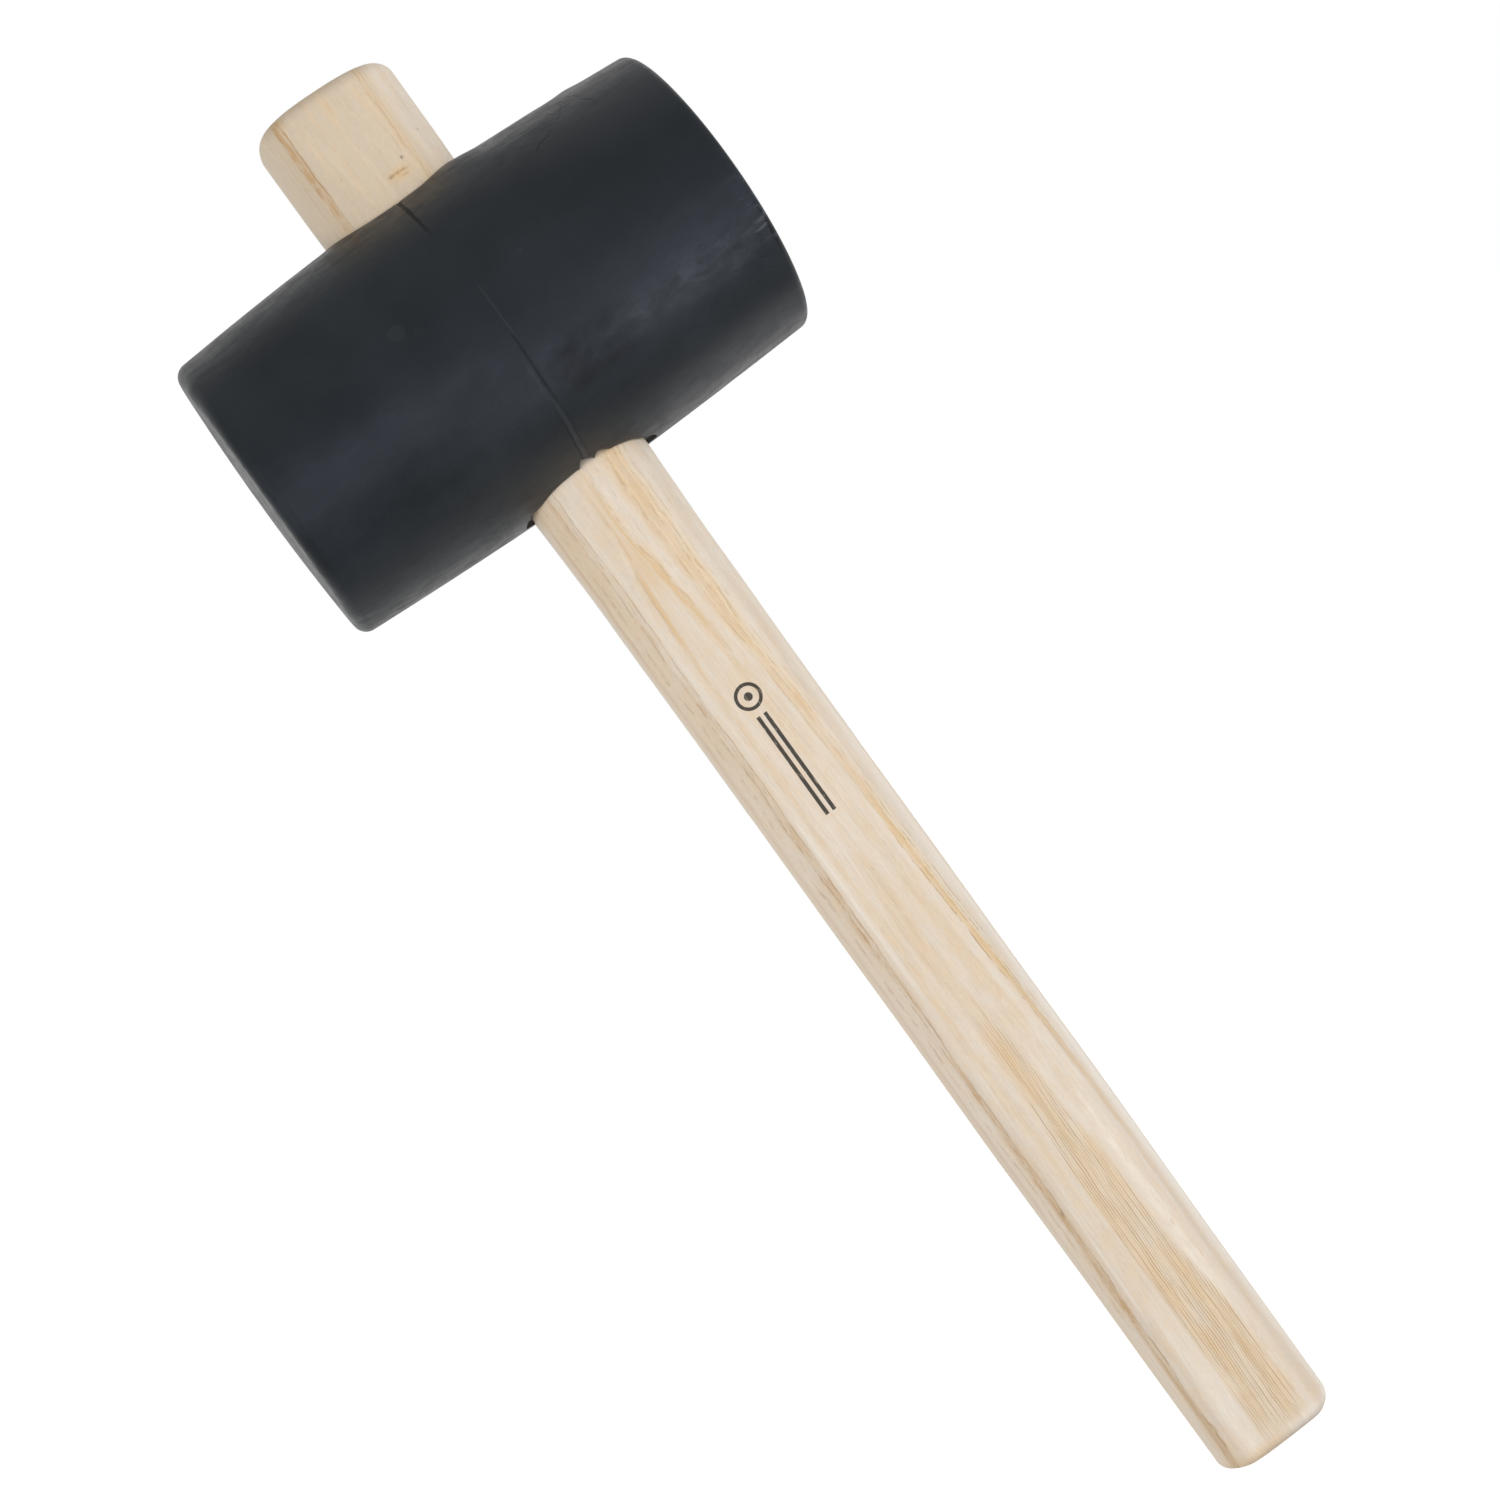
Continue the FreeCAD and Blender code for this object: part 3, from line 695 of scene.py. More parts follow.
class Nodes:
    """Writes the node tree of a material or world as expressions."""

    def __init__(self, owner, output="ShaderNodeOutputMaterial"):
        owner.use_nodes = True
        self.owner = owner
        self.tree = owner.node_tree
        self.tree.nodes.clear()
        self.out = self.new(output)

    def new(self, kind, **properties):
        node = self.tree.nodes.new(kind)
        for key, value in properties.items():
            setattr(node, key, value)
        return node

    def put(self, socket, value):
        if isinstance(value, Value):
            self.tree.links.new(value.socket, socket)
        elif value is not None:
            socket.default_value = value

    def fill(self, node, output, inputs):
        """Sets the node's inputs from a dict of names or numbers, and returns one output."""
        for key, value in inputs.items():
            self.put(node.inputs[key], value)
        return Value(self, node.outputs[output])

    def math(self, kind, a, b=None, clamp=False):
        node = self.new("ShaderNodeMath", operation=kind, use_clamp=clamp)
        return self.fill(node, 0, {0: a, 1: b})

    def clamped(self, value, factor):
        return self.math("MULTIPLY", value, factor, clamp=True)

    def fold(self, kind, values):
        """MINIMUM or MAXIMUM of several values."""
        result = values[0]
        for value in values[1:]:
            result = self.math(kind, result, value)
        return result

    def length(self, a, b):
        return self.math("SQRT", a * a + b * b)

    def ramp(self, value, start, end, to=(0.0, 1.0), mode="SMOOTHSTEP"):
        """Goes from to[0] where value is start, to to[1] where it is end."""
        return self.fill(self.new("ShaderNodeMapRange", interpolation_type=mode), "Result", {
            "Value": value, "From Min": start, "From Max": end, "To Min": to[0], "To Max": to[1]})

    def mix(self, amount, below, above, mode="MIX"):
        """Mixes two colours, given as values or as display levels."""
        node = self.new("ShaderNodeMix", data_type="RGBA", blend_type=mode)
        below, above = [srgb(*c) if isinstance(c, tuple) else c for c in (below, above)]
        return self.fill(node, 2, {0: amount, 6: below, 7: above})

    def layers(self, colour, *coats):
        """Lays (amount, colour) coats over a colour."""
        for amount, coat in coats:
            colour = self.mix(amount, colour, coat)
        return colour

    def attribute(self, name):
        return Value(self, self.new("ShaderNodeAttribute", attribute_name=name).outputs["Fac"])

    def coords(self, scale=(1000.0, 1000.0, 1000.0), offset=(0.0, 0.0, 0.0)):
        """Object coordinates; the default scale gives millimetres."""
        place = Value(self, self.new("ShaderNodeTexCoord").outputs["Object"])
        return self.fill(self.new("ShaderNodeMapping"), "Vector",
                         {"Vector": place, "Scale": scale, "Location": offset})

    def noise(self, vector, scale=1.0, detail=2.0, rough=0.6, distortion=0.0):
        return self.fill(self.new("ShaderNodeTexNoise"), "Fac", {
            "Vector": vector, "Scale": scale, "Detail": detail, "Roughness": rough,
            "Distortion": distortion})

    def flat_noise(self, x, y, seed, detail, rough):
        vector = self.fill(self.new("ShaderNodeCombineXYZ"), 0, {0: x, 1: y, 2: seed})
        return self.noise(vector, detail=detail, rough=rough)

    def separate(self, vector):
        node = self.new("ShaderNodeSeparateXYZ")
        self.put(node.inputs[0], vector)
        return [Value(self, socket) for socket in node.outputs]

    def bump(self, height, strength, distance, normal=None):
        return self.fill(self.new("ShaderNodeBump"), "Normal", {
            "Strength": strength, "Distance": distance, "Height": height, "Normal": normal})

    def principled(self, **inputs):
        shader = self.fill(self.new("ShaderNodeBsdfPrincipled"), 0,
                           {key.replace("_", " "): value for key, value in inputs.items()})
        self.put(self.out.inputs["Surface"], shader)


# ---------------------------------------------------------------- ash material
# printed mark on the front of the grip: a ring with a dot, and two upright bars below
PRINT_X = -0.9
RING_H, RING_R = -89.0, 2.55
BAR_H, BAR_OFFSET = -105.5, 0.85
BAR_HALF_X, BAR_HALF_H = 0.42, 12.0


class AshNodes(Nodes):
    """The ash material's tree, with the fields that its parts share."""

    def __init__(self, owner):
        super().__init__(owner)
        self.grain_x, self.rings, self.front, self.ends, self.pore = [
            self.attribute(name) for name in ("gx", "rings", "front", "ends", "pore")]
        self.x, self.y, self.z = self.separate(self.coords())
        self.h = self.z - HEAD_Z
        # across the grain everywhere: the front's own coordinate, or the rings elsewhere
        self.across = self.grain_x * self.front + self.rings * 1.18 * (1.0 - self.front)
        # per mm across, per mm along, seed, detail, roughness
        self.fibre = self.grain(2.3, 0.085, 1.3, 3.0, 0.6)
        self.fine = self.grain(5.5, 0.22, 5.7, 2.0, 0.6)
        self.cloud = self.grain(0.5, 0.17, 9.9, 4.0, 0.6)
        self.fleck = self.grain(3.2, 0.95, 14.2, 2.0, 0.6)
        self.patchy = self.grain(0.8, 0.16, 12.5, 3.0, 0.65)
        self.blotchy = self.grain(1.6, 0.34, 17.5, 3.0, 0.65)
        # the lines wander a little
        self.wander = (self.grain_x + (self.grain(0.35, 0.10, 31.0, 2.0, 0.5) - 0.5) * 1.1
                       + (self.grain(0.8, 0.42, 33.0, 2.0, 0.6) - 0.5) * 0.42)
        self.calm = self.ramp(self.h, -232.0, -246.0)
        self.stub = self.ramp(self.h, 30.0, 34.0)

    def grain(self, per_mm, along_mm, seed, detail, rough):
        return self.flat_noise(self.across * per_mm, self.h * along_mm, seed, detail, rough)

    def peak(self, centre, width):
        """1 at a place across the grain, 0 beyond the width."""
        return self.ramp(abs(self.wander - centre), width, 0.0)

    def by_height(self, stations):
        """Smooth curve through (h, value) stations."""
        node = self.new("ShaderNodeFloatCurve")
        mapping = node.mapping
        mapping.use_clip = False
        points = mapping.curves[0].points
        low, span = 280.0, 350.0        # h from -280 to 70 becomes 0 to 1
        places = sorted(((h + low) / span, value) for h, value in stations)
        points[0].location = places[0]
        points[1].location = places[-1]
        for place in places[1:-1]:
            points.new(*place)
        for point in points:
            point.handle_type = "AUTO_CLAMPED"
        mapping.update()
        return self.fill(node, 0, {"Value": (self.h + low) / span})


def left_streaks(wood):
    """Pair of broken brown streaks at the left of the front: brown, lines and pale glints."""
    ramp, peak, h = wood.ramp, wood.peak, wood.h
    patchy, blotchy = wood.patchy, wood.blotchy
    body = (ramp(blotchy, 0.33, 0.58, to=(0.55, 1.45)) * ramp(wood.fine, 0.3, 0.62, to=(0.7, 1.25))
            * ramp(wood.calm, 1.0, 0.0)
            + ramp(wood.fibre, 0.2, 0.8, to=(0.80, 1.10)) * wood.calm)
    level = wood.by_height([
        (-280, 0.85), (-240, 0.70), (-215, 0.56), (-175, 0.60), (-160, 0.68), (-146, 0.82),
        (-128, 0.72), (-110, 0.62), (-92, 0.60), (-70, 0.55), (-58, 0.50), (-34, 0.42),
        (30, 0.55), (44, 0.85), (66, 1.0)])
    line = (peak(-10.5, 0.24) * ramp(blotchy, 0.38, 0.58, to=(0.12, 0.9))
            + peak(-9.1, 0.25) * ramp(patchy, 0.36, 0.58, to=(0.2, 1.0))
            + peak(-9.8, 0.18) * ramp(blotchy, 0.52, 0.62, to=(0.0, 0.6))) * level * 1.45
    glint = ((peak(-8.6, 0.26) + peak(-10.0, 0.20) * 0.7) * ramp(h, -30.0, -36.0)
             * ramp(h, -120.0, -90.0) * ramp(patchy, 0.34, 0.58, to=(0.25, 1.0)))
    edge = (peak(-13.2, 0.34) * ramp(patchy, 0.35, 0.6, to=(0.25, 0.7))
            + peak(-12.0, 0.25) * ramp(blotchy, 0.42, 0.6, to=(0.0, 0.55)))
    edge = edge * ramp(h, 30.0, 34.0, to=(1.0, 0.4))
    return wood.attribute("brown") * body, line + edge, glint


def right_band(wood):
    """Soft amber band at the right of the front: amber, lines and pale glints."""
    ramp, peak = wood.ramp, wood.peak
    patchy, blotchy = wood.patchy, wood.blotchy
    level = wood.by_height([
        (-280, 0.10), (-235, 0.16), (-222, 0.20), (-205, 0.40), (-185, 0.60), (-168, 1.15),
        (-146, 1.35), (-124, 1.0), (-108, 0.55), (-95, 0.70), (-80, 0.80), (-60, 0.85),
        (-34, 0.85), (30, 0.30), (50, 0.15), (66, 0.10)])
    width = wood.by_height([
        (-280, 0.22), (-200, 0.22), (-170, 0.22), (-120, 0.24), (-95, 0.34), (-70, 0.42),
        (-34, 0.42), (30, 0.25), (66, 0.25)])
    body = (ramp(abs(wood.wander - 8.0) / (width * 5.0), 1.05, 0.25) * level
            * ramp(patchy, 0.32, 0.62, to=(0.55, 1.15))
            * ramp(wood.fibre, 0.3, 0.7, to=(0.8, 1.1)))
    line = (peak(9.0, 0.22) * ramp(blotchy, 0.40, 0.6, to=(0.0, 0.8))
            + peak(7.2, 0.22) * ramp(patchy, 0.42, 0.6, to=(0.0, 0.8))
            + peak(8.4, 0.16) * ramp(blotchy, 0.50, 0.62, to=(0.0, 0.7))
            + peak(9.9, 0.20) * ramp(patchy, 0.44, 0.6, to=(0.0, 0.5)))
    line = line * level * ramp(wood.h, -100.0, -84.0, to=(1.15, 0.95))
    glint = ((peak(8.8, 0.24) + peak(9.5, 0.22) * 0.9 + peak(7.6, 0.2) * 0.6) * level
             * ramp(blotchy, 0.34, 0.56, to=(0.2, 1.0)))
    return body, line, glint


def pointed_arch(wood):
    """Long pointed arch below the head: mottled amber bands with a hint of a line."""
    ramp, peak, blotchy = wood.ramp, wood.peak, wood.blotchy
    level = wood.by_height([
        (-280, 0.10), (-200, 0.22), (-160, 0.36), (-125, 0.34), (-95, 0.42), (-76, 0.60),
        (-58, 0.85), (-46, 0.65), (-36, 0.42), (30, 0.22), (66, 0.30)])
    body = (peak(-5.5, 1.25) * ramp(wood.patchy, 0.32, 0.62, to=(0.30, 1.1))
            + peak(3.2, 1.9) * ramp(blotchy, 0.32, 0.62, to=(0.30, 1.1))) * level * 1.25
    line = (peak(-6.2, 0.26) * 0.7 + peak(4.3, 0.28) * 0.6 + peak(-4.6, 0.22) * 0.4
            + peak(5.6, 0.22) * 0.35) * level * 0.8 * ramp(blotchy, 0.38, 0.60)
    return body, line


def pore_grooves(wood):
    """Fine parallel grooves where the early wood is met edge-on, and the crests between."""
    ramp = wood.ramp
    drift = wood.x + wood.h * -0.012 + (wood.grain(0.30, 0.055, 41.0, 2.0, 0.5) - 0.5) * 1.5
    count = drift * 1.95        # grooves per mm
    cell = wood.math("FLOOR", count)
    saw = abs(wood.math("FRACT", count) - 0.5)
    run = wood.flat_noise(cell * 3.7, wood.h * 0.055, seed=2.2, detail=2.0, rough=0.6)
    groove = (ramp(saw, 0.32, 0.03) * ramp(run, 0.34, 0.62, to=(0.10, 1.15))
              * ramp(wood.pore, 0.05, 0.9))
    crest = (ramp(saw, 0.24, 0.48) * ramp(run, 0.62, 0.36, to=(0.15, 0.75))
             * ramp(wood.pore, 0.25, 0.95) * wood.front)
    return groove, crest


def whole_grain(wood):
    """Amber, line, brown and pore amounts over all faces, with the front's glint."""
    ramp, front, patchy = wood.ramp, wood.front, wood.patchy
    brown, left_line, left_glint = left_streaks(wood)
    right_amber, right_line, right_glint = right_band(wood)
    arch_amber, arch_line = pointed_arch(wood)
    hair = wood.grain(3.6, 0.030, 8.1, 1.0, 0.5)
    stray = ramp(abs(hair - 0.5), 0.016, 0.0) * ramp(wood.blotchy, 0.44, 0.62, to=(0.0, 0.5))
    twin = ((wood.peak(7.95, 0.22) + wood.peak(8.55, 0.20) * 0.8) * wood.stub
            * ramp(patchy, 0.34, 0.54, to=(0.35, 1.0)))
    front_amber = (right_amber + arch_amber + wood.attribute("amber")
                   + wood.peak(8.2, 0.9) * wood.stub * 0.30
                   + wood.pore * ramp(patchy, 0.36, 0.62, to=(0.18, 0.55)))
    front_line = left_line + right_line + arch_line + stray + twin * 0.48

    # other faces show the rings themselves
    saw = wood.math("FRACT", wood.rings)
    band = ramp(saw, 0.0, 0.06) * ramp(saw, 0.62, 0.10)
    ring_random = wood.fill(wood.new("ShaderNodeTexWhiteNoise", noise_dimensions="1D"), "Value",
                            {"W": wood.math("FLOOR", wood.rings)})
    amount = ring_random * 0.75 + 0.25

    def ring_line(width):
        return ramp(wood.math("MINIMUM", saw, 1.0 - saw), width, 0.0)

    def pick(a, b, t):
        """a where t is 0, b where it is 1."""
        return a * (1.0 - t) + t * b

    side_amber = band * amount * ramp(patchy, 0.3, 0.65, to=(0.35, 0.85))
    side_line = ring_line(0.13) * amount * 0.5
    amber = pick(pick(side_amber, front_amber, front), band * 0.45 + 0.42, wood.ends)
    line = pick(pick(side_line, front_line, front), ring_line(0.12) * 0.5, wood.ends)
    brown = pick(brown * front, 0.0, wood.ends)
    pore = pick(pick(band * amount * 0.6, 0.0, front), band * 0.6, wood.ends)
    glint = wood.math("ADD", left_glint, right_glint, clamp=True) * front
    return amber, line, brown, pore, glint


def open_pores(wood, pore, groove):
    """Short dark dashes along the fibres, and the grooves."""
    ramp = wood.ramp
    dash = wood.grain(3.1, 0.090, 21.0, 2.0, 0.65)
    short_dash = wood.grain(4.6, 0.230, 27.0, 1.0, 0.5)
    threshold = ramp(pore, 0.0, 1.0, to=(0.72, 0.52), mode="LINEAR")
    dashes = wood.math("ADD", ramp(dash - threshold, 0.0, 0.07),
                       ramp(short_dash, 0.67, 0.75) * 0.4, clamp=True)
    dashes = dashes * ramp(pore, 0.0, 0.45, to=(0.16, 0.8))
    return wood.math("MAXIMUM", dashes, groove * wood.front * 1.0)


def add_scar(wood, colour):
    """Small knot scar low on the stub: a brown stroke across the grain, and pin marks."""
    def bell(across, down):
        return wood.math("EXPONENT", (across + down) * -1.0) * wood.ramp(wood.y, -8.0, -10.0)

    def spot(x, h, half_x, half_h, power=2.0):
        return bell(abs((wood.x - x) / half_x) ** power, abs((wood.h - h) / half_h) ** 2.0)

    bent = wood.h + (wood.cloud - 0.5) * 1.2
    stroke = (bell(abs((wood.x - 3.6) / 2.1) ** 4.0, ((bent - 37.35) / 0.34) ** 2.0)
              * wood.ramp(wood.fleck, 0.30, 0.62, to=(0.35, 1.0)))
    return wood.layers(
        colour,
        (spot(3.6, 37.0, 2.8, 1.1, power=4.0) * 0.38, (226, 190, 142)),
        (stroke * 0.62, (168, 128, 80)),
        (spot(4.6, 36.3, 0.8, 0.22, power=4.0) * 0.42, (178, 138, 90)),
        (spot(1.75, 37.2, 0.5, 0.36) * 0.55, (146, 110, 70)),
        (spot(5.93, 39.5, 0.28, 0.34) * 0.8, (104, 82, 62)),
        (spot(12.3, 43.0, 0.16, 0.22) * 0.42, (140, 116, 92)))


def add_print(wood, colour):
    """Worn dark print on the front of the grip."""
    ramp = wood.ramp
    radius = wood.length(wood.x - PRINT_X, wood.z - (HEAD_Z + RING_H))

    def span(value, centre, half):
        return ramp(abs(value - centre) - half, 0.05, -0.05)

    ring = ramp(abs(radius - RING_R), 0.42, 0.32)
    dot = ramp(radius, 0.95, 0.85)
    bars = [span(wood.x, PRINT_X + offset, BAR_HALF_X) * span(wood.z, HEAD_Z + BAR_H, BAR_HALF_H)
            for offset in (-BAR_OFFSET, BAR_OFFSET)]
    ink = wood.math("MAXIMUM", wood.math("MAXIMUM", ring, dot), wood.math("MAXIMUM", *bars))
    wear = ramp(wood.noise(wood.coords((2600.0, 2600.0, 420.0))), 0.30, 0.42, to=(0.55, 1.0))
    ink = ink * ramp(wood.y, -7.0, -9.0) * wear
    return wood.mix(ink * 0.93, colour, (38, 34, 32))


def ash_material():
    wood = AshNodes(bpy.data.materials.new("ash_wood"))
    ramp, clamped, cloud = wood.ramp, wood.clamped, wood.cloud
    fibre, fine = wood.fibre, wood.fine
    tone_and_highlight = wood.attribute("tone_and_highlight")
    amber, line, brown, pore, glint = whole_grain(wood)
    groove, crest = pore_grooves(wood)
    pores = open_pores(wood, pore, groove)

    broad = wood.grain(0.42, 0.030, 3.9, 3.0, 0.6)
    base = wood.mix(ramp(broad, 0.32, 0.68), (235, 222, 206), (231, 213, 191))
    colour = wood.layers(
        base,
        (ramp(cloud, 0.40, 0.70, to=(0.0, 0.50)), (232, 209, 181)),
        (ramp(cloud, 0.46, 0.28, to=(0.0, 0.45)), (236, 226, 215)),
        # paler where tone_and_highlight is above 0, painted sheen and highlights included; duller
        # below 0
        (ramp(tone_and_highlight, 0.0, 1.0, to=(0.0, 0.9)), (249, 241, 230)),
        (ramp(tone_and_highlight, 0.0, -1.0, to=(0.0, 0.8)), (214, 196, 171)),
        (clamped(amber, 0.90), (227, 197, 156)),
        (clamped(brown, 0.85), wood.mix(wood.calm, (206, 171, 128), (207, 178, 142))),
        (clamped(line, 0.66), (184, 143, 94)))
    variation = ((fibre - 0.5) * 0.17 + (fine - 0.5) * 0.13 + (wood.fleck - 0.5) * 0.11
                 + (cloud - 0.5) * 0.08 + 0.995)
    colour = wood.layers(
        wood.mix(1.0, colour, variation, mode="MULTIPLY"),
        (crest * 0.62, (240, 226, 203)),
        (glint * 0.62, (244, 228, 197)),
        (pores * 0.60, (184, 146, 101)),
        (wood.attribute("mark") * 0.8, (98, 72, 52)))
    colour = add_print(wood, add_scar(wood, colour))

    height = (fibre * 0.5 + fine * 0.25) - (pores * 0.9 + line * 0.25)
    wood.principled(Base_Color=colour, IOR=1.46, Coat_Weight=0.18, Coat_Roughness=0.32,
                    Roughness=ramp(fibre, 0.2, 0.8, to=(0.40, 0.52)) + pores * 0.12,
                    Normal=wood.bump(height, strength=0.35, distance=0.00012))
    return wood.owner


# ------------------------------------------------------------- rubber material
# Creases near the top of the +x end, with painted shade along them: (width, amount, [(x, arc),
# ...])
FOLDS = [
    (0.62, 0.55, [(38.4, 41.5), (39.6, 38.5), (41.0, 36.0), (41.4, 32.5), (42.3, 30.0)]),
    (0.55, 0.55, [(38.6, 39.8), (37.3, 36.5), (36.6, 33.2), (35.0, 30.2)]),
    (0.62, 0.55, [(27.0, 24.7), (28.6, 26.1), (30.4, 26.6), (32.0, 27.7)]),
    (0.5, 0.6, [(32.3, 35.6), (33.8, 34.8), (34.4, 33.2)]),
    (0.5, 0.45, [(22.0, 34.0), (25.2, 33.9), (28.2, 33.4), (33.0, 34.6)]),
    (0.5, 0.45, [(28.5, 47.0), (32.5, 44.0), (35.0, 41.0)]),
]


class RubberNodes(Nodes):
    """The rubber material's tree, with places on the barrel undone from the head's tilt."""

    def __init__(self, owner):
        super().__init__(owner)
        self.place = self.coords()
        raw_x, self.y, raw_z = self.separate(self.place)
        up = raw_z - (HEAD_Z + HEAD_LIFT)
        self.x = up * HEAD_TILT
        self.x = raw_x + self.x
        self.z = (up - raw_x * HEAD_TILT) + abs(raw_x / DROOP_X) ** 2.0 * HEAD_DROOP
        self.arc = self.math("ARCTAN2", self.z, self.y * -1.0) * BARREL_R


def parting_line(rubber):
    """Mould line: painted shade in its crease and beside its bead, painted highlights on the
    raised bead and on a faint line, and a dark hairline round the back.
    """
    ramp, arc = rubber.ramp, rubber.arc
    wobble = (rubber.noise(rubber.coords((0.0, 260.0, 260.0), (5.0, 5.0, 5.0))) - 0.5) * 0.35
    x = rubber.x + wobble

    def band(centre, width):
        return ramp(abs(x - centre), width, width * 0.35)

    # painted shade in the crease, above and below the front line
    over = band(-0.15, 0.66) * ramp(arc, 17.0, 29.0) * ramp(arc, 104.0, 72.0) * 0.60
    faint = band(0.9, 0.30) * ramp(arc, 8.0, 3.0) * ramp(arc, -9.0, -4.0)
    lower = band(0.55, 0.46) * ramp(arc, -3.0, -8.0) * ramp(arc, -26.0, -20.0) * 0.36
    bead = band(0.22, 0.62) * ramp(arc, -17.0, -24.0) * ramp(arc, -106.0, -84.0)
    # painted shade along the bead's edges
    edges = (band(-0.48, 0.26) * ramp(arc, -24.0, -31.0)
             + band(0.95, 0.22) * ramp(arc, -16.0, -22.0) * 0.55)
    back = band(0.0, 0.34) * ramp(abs(arc), 70.0, 90.0) * 0.30
    dark = rubber.math("MAXIMUM", over, rubber.math("MAXIMUM", lower, back))
    return rubber.math("MAXIMUM", dark, edges * 0.34, clamp=True), bead, faint


def fold_creases(rubber):
    place = rubber.coords((260.0, 260.0, 260.0), (9.0, 2.0, 4.0))
    x = rubber.x + (rubber.noise(place) - 0.5) * 2.2

    def stroke(points, width):
        """1 on a polyline, 0 beyond the width."""
        distances = []
        for (x0, arc0), (x1, arc1) in zip(points[:-1], points[1:]):
            run, rise = x1 - x0, arc1 - arc0
            dx, da = x - x0, rubber.arc - arc0
            t = rubber.math("DIVIDE", dx * run + da * rise, run * run + rise * rise, clamp=True)
            distances.append(rubber.length(dx - t * run, da - t * rise))
        return rubber.ramp(rubber.fold("MINIMUM", distances), width, 0.0)

    return rubber.fold("MAXIMUM", [stroke(points, width) * amount
                                   for width, amount, points in FOLDS])


def rubber_material():
    rubber = RubberNodes(bpy.data.materials.new("black_rubber"))
    ramp, noise_at, coords = rubber.ramp, rubber.noise, rubber.coords
    x, y, z, arc = rubber.x, rubber.y, rubber.z, rubber.arc
    speck = noise_at(rubber.place, scale=2.6)
    mottle = noise_at(coords((55.0, 55.0, 55.0), (2.0, 5.0, 1.0)), detail=4.0, rough=0.55)
    cloud = noise_at(coords((18.0, 40.0, 40.0), (7.0, 1.0, 4.0)), detail=3.0, rough=0.5)
    # marks left round the mould cavity: quick along the axis, slow round it
    tool = noise_at(coords((1500.0, 60.0, 60.0), (4.0, 3.0, 2.0)), detail=3.0)
    fine = noise_at(coords((420.0, 420.0, 420.0), (1.0, 8.0, 5.0)), scale=10.0)
    scuff = noise_at(coords((150.0, 330.0, 330.0), (3.0, 9.0, 2.0)), detail=4.0, rough=0.62,
                     distortion=0.6)
    smear = noise_at(coords((260.0, 620.0, 620.0), (6.0, 2.0, 8.0)), detail=3.0, distortion=0.5)
    scuff_sheen = rubber.attribute("scuffs_and_sheen")
    groove, bead, faint = parting_line(rubber)
    folds = fold_creases(rubber)

    # painted sheen on the upper and lower limbs at the right end; painted shade round the mouths
    away = abs(x)
    radius = rubber.length(y, z)
    skin = ramp(radius, 27.5, 32.2)         # 1 on the barrel, 0 on the flat faces
    high = ramp(x, 4.0, 46.0) * ramp(arc, 10.0, 26.0) * ramp(arc, 96.0, 60.0) * skin
    under = ramp(x, 8.0, 30.0) * ramp(arc, -31.0, -39.0) * ramp(arc, -96.0, -60.0) * skin
    mouth = ramp(away, 25.0, 13.0) * ramp(abs(arc), 33.0, 46.0)
    # painted light inside the shadowed recesses of the mouths
    gap = ramp(radius, 34.3, 33.7) * ramp(away, 20.0, 18.5)

    def disc(x0, arc0, r):
        return ramp(rubber.length(x - x0, arc - arc0), r, r * 0.75)

    def arc_band(centre, inner=3.0):
        """1 about an arc below the front line, 0 beyond 8 mm."""
        return ramp(abs(arc + centre), 8.0, inner)

    # faint dull discs, and scratches running off the rim at the +x end
    discs = disc(-17.5, 7.6, 2.0) + disc(-13.8, 5.0, 1.3) * 0.5 + disc(11.5, 6.7, 0.7) * 0.8
    rake = noise_at(coords((90.0, 900.0, 900.0), (2.0, 2.0, 7.0)))
    rake = (ramp(rake, 0.54, 0.66) * ramp(x, 50.5, 53.0) * ramp(arc, -24.0, -18.0)
            * ramp(arc, -4.0, -9.0) * ramp(rubber.length(y, z), 31.4, 32.4))
    # painted shade below the front line: right of centre, left, and the +x end
    dim = (ramp(abs(x - 12.5), 12.5, 5.0) * arc_band(18.0)
           + ramp(x, -13.0, -24.0) * arc_band(19.5) * skin * 0.6
           + ramp(x, 44.0, 49.0) * arc_band(18.0) * skin * 0.75)
    lit = ramp(abs(x), 14.0, 28.0) * arc_band(9.0, inner=2.5) * skin

    base = rubber.mix(ramp(mottle, 0.3, 0.7), (30, 35, 40), (37, 42, 47))
    colour = rubber.layers(
        base,
        (ramp(cloud, 0.45, 0.75, to=(0.0, 0.5)), (41, 46, 51)),
        # painted sheen on the upper and lower limbs at the right end
        (high * 0.62, (52, 54, 59)),
        (under * 0.55, (60, 62, 68)),
        # painted shade round the mouths, where head and handle meet
        (mouth * 0.50, (20, 22, 25)),
        # painted shade below the front line
        (dim * 0.62, (18, 21, 25)),
        (lit * ramp(scuff, 0.3, 0.7, to=(0.12, 0.36)), (46, 50, 60)),
        # painted light in the mouths' shadowed recesses
        (gap * 0.55, (104, 104, 106)),
        # painted sheen on the burnished patches
        (scuff_sheen * ramp(smear, 0.34, 0.66, to=(0.25, 0.9)) * 0.30, (60, 65, 79)),
        (rubber.math("MINIMUM", discs, 1.0) * 0.075, (84, 88, 92)),
        (rake * 0.30, (112, 114, 124)),
        (ramp(speck, 0.72, 0.80, to=(0.0, 0.10)), (120, 122, 124)),
        # mould line: painted highlights on the faint line and the bead, painted shade in the
        # crease
        (faint * 0.10, (92, 95, 98)),
        (bead * 0.17, (84, 85, 90)),
        (rubber.clamped(groove, 0.80), (10, 11, 13)),
        # painted shade in the fold creases
        (folds * 0.50, (14, 15, 18)))

